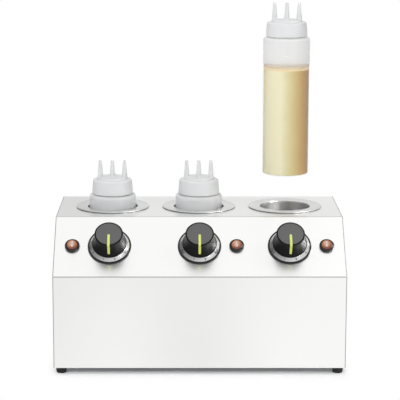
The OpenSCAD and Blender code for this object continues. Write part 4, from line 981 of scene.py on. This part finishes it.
# Warm vanilla sauce: a smooth, opaque cream, with painted shade that turns it amber towards its right side.
sauce_finish, tree, shader = material("vanilla_sauce", "#EBDFA8", Roughness=0.25, IOR=1.4)
place = add(tree, "ShaderNodeTexCoord").outputs["Object"]
swirl = add(tree, "ShaderNodeTexNoise", {"Vector": place, "Scale": SWIRLS_PER_M, "Detail": 2.0})
axes = add(tree, "ShaderNodeSeparateXYZ", {0: place})
wavering = add(tree, "ShaderNodeMath", {0: swirl.outputs[0], 1: SWIRL_WIDTH, 2: axes.outputs[0]},
               operation="MULTIPLY_ADD")
across = add(tree, "ShaderNodeMapRange", {
    "Value": wavering.outputs[0], "From Min": sauce_base[0] + LIT_SIDE_X,
    "From Max": sauce_base[0] + SHADED_SIDE_X})
# The ramp is painted shade: pale where light would fall from the left, amber on the shaded right.
painted_side_shade = add(tree, "ShaderNodeValToRGB", {0: across.outputs[0]})
stops = painted_side_shade.color_ramp.elements
stops[0].color, stops[-1].color = linear("#D9CE92"), linear("#AB741A")
for at, colour in ((0.08, "#E6DFBA"), (0.36, "#E6DFB8"), (0.48, "#D8CC96"), (0.64, "#C8B068"),
                   (0.82, "#BB9137")):
    stops.new(at).color = linear(colour)
skin = add(tree, "ShaderNodeMapRange", {
    "Value": axes.outputs[2], "From Min": sauce_top + SKIN_LOW, "From Max": sauce_top + SKIN_HIGH})
topped = add(tree, "ShaderNodeMix", {0: skin.outputs[0], 6: painted_side_shade.outputs[0], 7: linear(SKIN_TONE)},
             data_type="RGBA")
tree.links.new(topped.outputs[2], shader.inputs["Base Color"])

sauce_r = inner_r - SAUCE_PLAY
sauce_floor = BOTTLE_WALL + SAUCE_PLAY
sauce_profile = outline([
    (0, sauce_floor + PUSH_UP, 0), (sauce_r - HEEL_RUN, sauce_floor + PUSH_UP, 1),
    (sauce_r, sauce_floor, INSIDE_HEEL), (sauce_r, SAUCE_H + MENISCUS, 0),
    (sauce_r - 0.2, SAUCE_H + MENISCUS, 0), (sauce_r - 0.6, SAUCE_H, 1.1), (0, SAUCE_H, 0)])
piece("sauce_3_fill", [(turned(sauce_profile, BOTTLE_STEPS) + sauce_base, False, True)], sauce_finish,
      "bottle_3", ["sauce_3"])

# %% [markdown]
# ## Sauce film
# A drying film clings to the wall above the sauce, thinner the higher it is. Tinting the bottle would
# colour its outside too, so the film is a thin ring on the inside whose alpha fades out along a wavy edge.

# %% Sauce film
FILM_RISE, FILM_T, RUNS_PER_M, RUN_LENGTH = 9.5, 0.04, 45.0, 4 * MM
FILM_FROM, FILM_TO, FILM_ALPHA = -1 * MM, 7.5 * MM, 0.9

# Dried sauce: a matt cream tint that lets the bottle's far side through.
film_finish, tree, shader = material("drying_sauce_film", "#F2DAAE", Roughness=0.4)
place = add(tree, "ShaderNodeTexCoord").outputs["Object"]
runs = add(tree, "ShaderNodeTexNoise", {"Vector": place, "Scale": RUNS_PER_M, "Detail": 2.0})
axes = add(tree, "ShaderNodeSeparateXYZ", {0: place})
wavy = add(tree, "ShaderNodeMath", {0: runs.outputs[0], 1: -RUN_LENGTH, 2: axes.outputs[2]},
           operation="MULTIPLY_ADD")
thin = add(tree, "ShaderNodeMapRange", {
    "Value": wavy.outputs[0], "From Min": sauce_top + FILM_FROM, "From Max": sauce_top + FILM_TO,
    "To Min": FILM_ALPHA, "To Max": 0.0}, interpolation_type="SMOOTHSTEP")
tree.links.new(thin.outputs[0], shader.inputs["Alpha"])
film_profile = outline([
    (sauce_r, SAUCE_H + MENISCUS, 0), (sauce_r, SAUCE_H + FILM_RISE, 0),
    (sauce_r - FILM_T, SAUCE_H + FILM_RISE, 0), (sauce_r - FILM_T, SAUCE_H + MENISCUS, 0)])
piece("sauce_3_film", [(turned(film_profile, BOTTLE_STEPS) + sauce_base, True, True)], film_finish,
      "bottle_3")

# %% [markdown]
# ## Raised marks on the bottles
# The mould leaves a short raised line on the front of each bottle for every 30 mm of filling. A bump would
# not show at the wall's edge, so each is a small patch bent to the wall: the same cylinder, a fraction of a
# millimetre further out, with sloping sides that end inside the wall.

# %% Raised marks
MARK_STEP, MARK_COUNT, MARK_HALF_W, MARK_HALF_H = 30.0, 6, 2.2, 0.45
MARK_OUT, MARK_IN, MARK_ASIDE = 0.25, -0.1, 3.0

bend = -math.pi / 2 - MARK_ASIDE / BOTTLE_R + np.linspace(-1, 1, 9) * MARK_HALF_W / BOTTLE_R
rows = np.array([(MARK_IN, -1), (MARK_OUT, -0.6), (MARK_OUT, 0.6), (MARK_IN, 1)])
mark_r = (BOTTLE_R + rows[:, :1]) * MM
patch = np.stack([mark_r * np.cos(bend), mark_r * np.sin(bend),
                  rows[:, 1:] * MARK_HALF_H * MM + 0 * bend], -1)
for i in ORDER:
    marks = [(patch + stand(f"bottle_body_{i}") + (0, 0, (k + 1) * MARK_STEP * MM), False, False)
             for k in range(MARK_COUNT)]
    piece(f"bottle_marks_{i}", marks, bottle_ldpe, f"bottle_{i}")

# %% [markdown]
# ## Floor
# The floor is a plain pale sheet. Near the cabinet it is matt and keeps the shadow; further out it turns
# into the white that the world shows to the camera. A floor lit to white by the lamps would burn the steel
# out as well. Shiny pieces mirror the sheet in slightly different greys in front and beside the cabinet,
# as they would mirror the darker parts of a real studio's floor.

# %% The floor's shadow
FLOOR_HALF = 3.0
FOOTPRINT_HALF, SIDE_HASTE = (0.195, 0.1, 0.0), (2.2, 1.0, 1.0)
SHADOW_FULL, SHADOW_GONE, SHADOW_LIFT = 0.0, 0.066, 0.06


def seen_ray(tree):
    """1 on a ray from the camera, on one that a shiny surface mirrors, and on one through glass."""
    ray = add(tree, "ShaderNodeLightPath")
    eye = add(tree, "ShaderNodeMath", {0: ray.outputs["Is Camera Ray"], 1: ray.outputs["Is Glossy Ray"]},
              operation="MAXIMUM")
    return add(tree, "ShaderNodeMath", {0: eye.outputs[0], 1: ray.outputs["Is Transmission Ray"]},
               operation="MAXIMUM").outputs[0]


# Matt white sheet: it gives the eye nothing but the soft shadow under the cabinet.
floor_finish = bpy.data.materials.new("matt_white_sheet")
floor_finish.use_nodes = True
tree = floor_finish.node_tree
tree.nodes.clear()
place = add(tree, "ShaderNodeTexCoord").outputs["Object"]
# Distance to the cabinet's footprint: the length of max(|place| - half, 0), hurried to the sides.
reach = add(tree, "ShaderNodeVectorMath", {0: place}, operation="ABSOLUTE")
past = add(tree, "ShaderNodeVectorMath", {0: reach.outputs[0], 1: FOOTPRINT_HALF}, operation="SUBTRACT")
outside = add(tree, "ShaderNodeVectorMath", {0: past.outputs[0], 1: (0, 0, 0)}, operation="MAXIMUM")
hurried = add(tree, "ShaderNodeVectorMath", {0: outside.outputs[0], 1: SIDE_HASTE}, operation="MULTIPLY")
away = add(tree, "ShaderNodeVectorMath", {0: hurried.outputs[0]}, operation="LENGTH")
fade = add(tree, "ShaderNodeMapRange", {
    "Value": away.outputs["Value"], "From Min": SHADOW_FULL, "From Max": SHADOW_GONE,
    "To Min": SHADOW_LIFT}, interpolation_type="SMOOTHSTEP")
shown = add(tree, "ShaderNodeMath", {0: fade.outputs[0], 1: seen_ray(tree)}, operation="MULTIPLY")
print("the shadow ends", SHADOW_GONE, "m from the cabinet")

# %% The floor's tones
AHEAD_HALF, BESIDE_FROM, BESIDE_TO = 0.3, 0.22, 0.42
FRONT_FROM, FRONT_TO = -0.3, -0.1
WHITE, BESIDE_TONE, SHEET_TONE = linear("#FFFFFF"), "#DCDCDC", "#FAFAFA"

along = add(tree, "ShaderNodeSeparateXYZ", {0: place})
wide = add(tree, "ShaderNodeSeparateXYZ", {0: reach.outputs[0]})
share = add(tree, "ShaderNodeMapRange", {
    "Value": along.outputs[0], "From Min": -AHEAD_HALF, "From Max": AHEAD_HALF})
ahead = add(tree, "ShaderNodeValToRGB", {0: share.outputs[0]})
stops = ahead.color_ramp.elements
stops[0].color, stops[-1].color = linear("#F2F2F2"), WHITE
for at, colour in ((0.28, "#FFFFFF"), (0.5, "#F0F0F0"), (0.7, "#FFFFFF")):
    stops.new(at).color = linear(colour)
outward = add(tree, "ShaderNodeMapRange", {
    "Value": wide.outputs[0], "From Min": BESIDE_FROM, "From Max": BESIDE_TO},
    interpolation_type="SMOOTHSTEP")
backward = add(tree, "ShaderNodeMapRange", {
    "Value": along.outputs[1], "From Min": FRONT_FROM, "From Max": FRONT_TO},
    interpolation_type="SMOOTHSTEP")
beside = add(tree, "ShaderNodeMath", {0: outward.outputs[0], 1: backward.outputs[0]}, operation="MULTIPLY")
toned = add(tree, "ShaderNodeMix", {0: beside.outputs[0], 6: ahead.outputs[0], 7: linear(BESIDE_TONE)},
            data_type="RGBA")
ray = add(tree, "ShaderNodeLightPath")
mirrored_tone = add(tree, "ShaderNodeMix", {
    0: ray.outputs["Is Glossy Ray"], 6: WHITE, 7: toned.outputs[2]}, data_type="RGBA")
glow = add(tree, "ShaderNodeEmission", {"Color": mirrored_tone.outputs[2], "Strength": 1.0})
matt = add(tree, "ShaderNodeBsdfDiffuse", {"Color": linear(SHEET_TONE)})
sheet = add(tree, "ShaderNodeMixShader", {0: shown.outputs[0], 1: matt.outputs[0], 2: glow.outputs[0]})
add(tree, "ShaderNodeOutputMaterial", {"Surface": sheet.outputs[0]})

corners = np.array([(-1, -1, 0), (1, -1, 0), (1, 1, 0), (-1, 1, 0)]) * FLOOR_HALF
floor_mesh = bpy.data.meshes.new("floor")
floor_mesh.from_pydata(corners.tolist(), [], [(0, 1, 2, 3)])
floor_mesh.materials.append(floor_finish)
floor = bpy.data.objects.new("floor", floor_mesh)
scene.collection.objects.link(floor)
print("the floor is", 2 * FLOOR_HALF, "m wide")

# %% [markdown]
# ## World
# The world is the studio's room. To the camera it is plain white, at a strength of 1. To the matt surfaces
# it is an even fill, a little darker from the right, at which a colour comes out about as it is written.
# To shiny ones it is a room with a white ceiling and greyer walls, because steel is only as good as what
# it mirrors. An image of a studio could do this; here the ray's direction picks the tone.

# %% World
FILL_LEFT, FILL_RIGHT = "#DADADA", "#B8B8B8"
SIDE_LEFT, SIDE_RIGHT = "#B4B4B4", "#FAFAFA"
BACK_TONE, LEFT_TONE, TOP_TONE = "#D8D8D8", "#707070", "#FFFFFF"

world = bpy.data.worlds.new("white_studio")
world.use_nodes = True
scene.world = world
tree = world.node_tree
tree.nodes.clear()
place = add(tree, "ShaderNodeTexCoord")
axes = add(tree, "ShaderNodeSeparateXYZ", {0: place.outputs["Generated"]})
toward = {}
for name, axis, start, end in (("right", 0, -0.6, 0.4), ("left", 0, -0.25, -0.8), ("behind", 1, 0.3, 0.8),
                               ("raised", 2, 0.2, 0.42), ("overhead", 2, 0.45, 0.85)):
    toward[name] = add(tree, "ShaderNodeMapRange", {
        "Value": axes.outputs[axis], "From Min": start, "From Max": end},
        interpolation_type="SMOOTHSTEP").outputs[0]
leftward = add(tree, "ShaderNodeMath", {0: toward["left"], 1: toward["raised"]}, operation="MULTIPLY")
low_behind = add(tree, "ShaderNodeMath", {0: toward["behind"], 1: toward["overhead"]},
                 operation="SUBTRACT", use_clamp=True)
room = linear(SIDE_LEFT)
for factor, tone in ((toward["right"], SIDE_RIGHT), (low_behind.outputs[0], BACK_TONE),
                     (leftward.outputs[0], LEFT_TONE), (toward["overhead"], TOP_TONE)):
    room = add(tree, "ShaderNodeMix", {0: factor, 6: room, 7: linear(tone)}, data_type="RGBA").outputs[2]
ray = add(tree, "ShaderNodeLightPath")
backdrop = add(tree, "ShaderNodeMix", {0: ray.outputs["Is Glossy Ray"], 6: WHITE, 7: room},
               data_type="RGBA")
sideways = add(tree, "ShaderNodeMapRange", {"Value": axes.outputs[0], "From Min": -1.0, "From Max": 1.0})
fill_tone = add(tree, "ShaderNodeMix", {
    0: sideways.outputs[0], 6: linear(FILL_LEFT), 7: linear(FILL_RIGHT)}, data_type="RGBA")
fill = add(tree, "ShaderNodeBackground", {"Color": fill_tone.outputs[2], "Strength": 1.0})
white = add(tree, "ShaderNodeBackground", {"Color": backdrop.outputs[2], "Strength": 1.0})
both = add(tree, "ShaderNodeMixShader", {0: seen_ray(tree), 1: fill.outputs[0], 2: white.outputs[0]})
add(tree, "ShaderNodeOutputWorld", {"Surface": both.outputs[0]})
print("the world shows white and fills from", FILL_LEFT, "on the left to", FILL_RIGHT, "on the right")

# %% [markdown]
# ## Lamps
# A photographer lights matt things with big soft panels and gives shiny ones cards to mirror. One lamp for
# both would either burn out the bottles or leave the knobs without their gleam. So two panels light the
# matt surfaces only, from above and from the front, and three smaller cards are only seen in shiny ones.

# %% Lamps
FOR_MATT, FOR_SHINY = False, True


def lamp(name, place, target, size, watts, mirrored):
    """A soft panel of a width and height at a place, facing a target. Either shiny surfaces mirror it, as
    a card beside the set, or it lights the matt ones."""
    data = bpy.data.lights.new(name, "AREA")
    data.shape, data.size, data.size_y, data.energy = "RECTANGLE", *size, watts
    made = bpy.data.objects.new(name, data)
    made.location = place
    facing = made.location.__class__(target) - made.location
    made.rotation_euler = facing.to_track_quat("-Z", "Y").to_euler()
    made.visible_glossy = mirrored
    made.visible_diffuse = not mirrored
    scene.collection.objects.link(made)
    print(name, "stands", round(facing.length, 2), "m away")


lamp("overhead_panel", (-0.3, 0.1, 1.9), (0, 0, 0.15), (2.2, 2.2), 12, FOR_MATT)
lamp("front_panel", (-0.02, -1.5, 1.15), (0, 0, 0.25), (0.7, 0.7), 12, FOR_MATT)
lamp("right_panel", (1.15, -0.33, 1.15), (0, 0, 0.2), (0.5, 0.5), 16, FOR_SHINY)
lamp("front_right_panel", (1.25, -1.5, 0.75), (0, 0, 0.2), (0.45, 0.45), 4, FOR_SHINY)
lamp("deck_card", (0.08, 0.5, 0.45), (0.08, 0, 0.25), (0.5, 0.4), 0.08, FOR_SHINY)
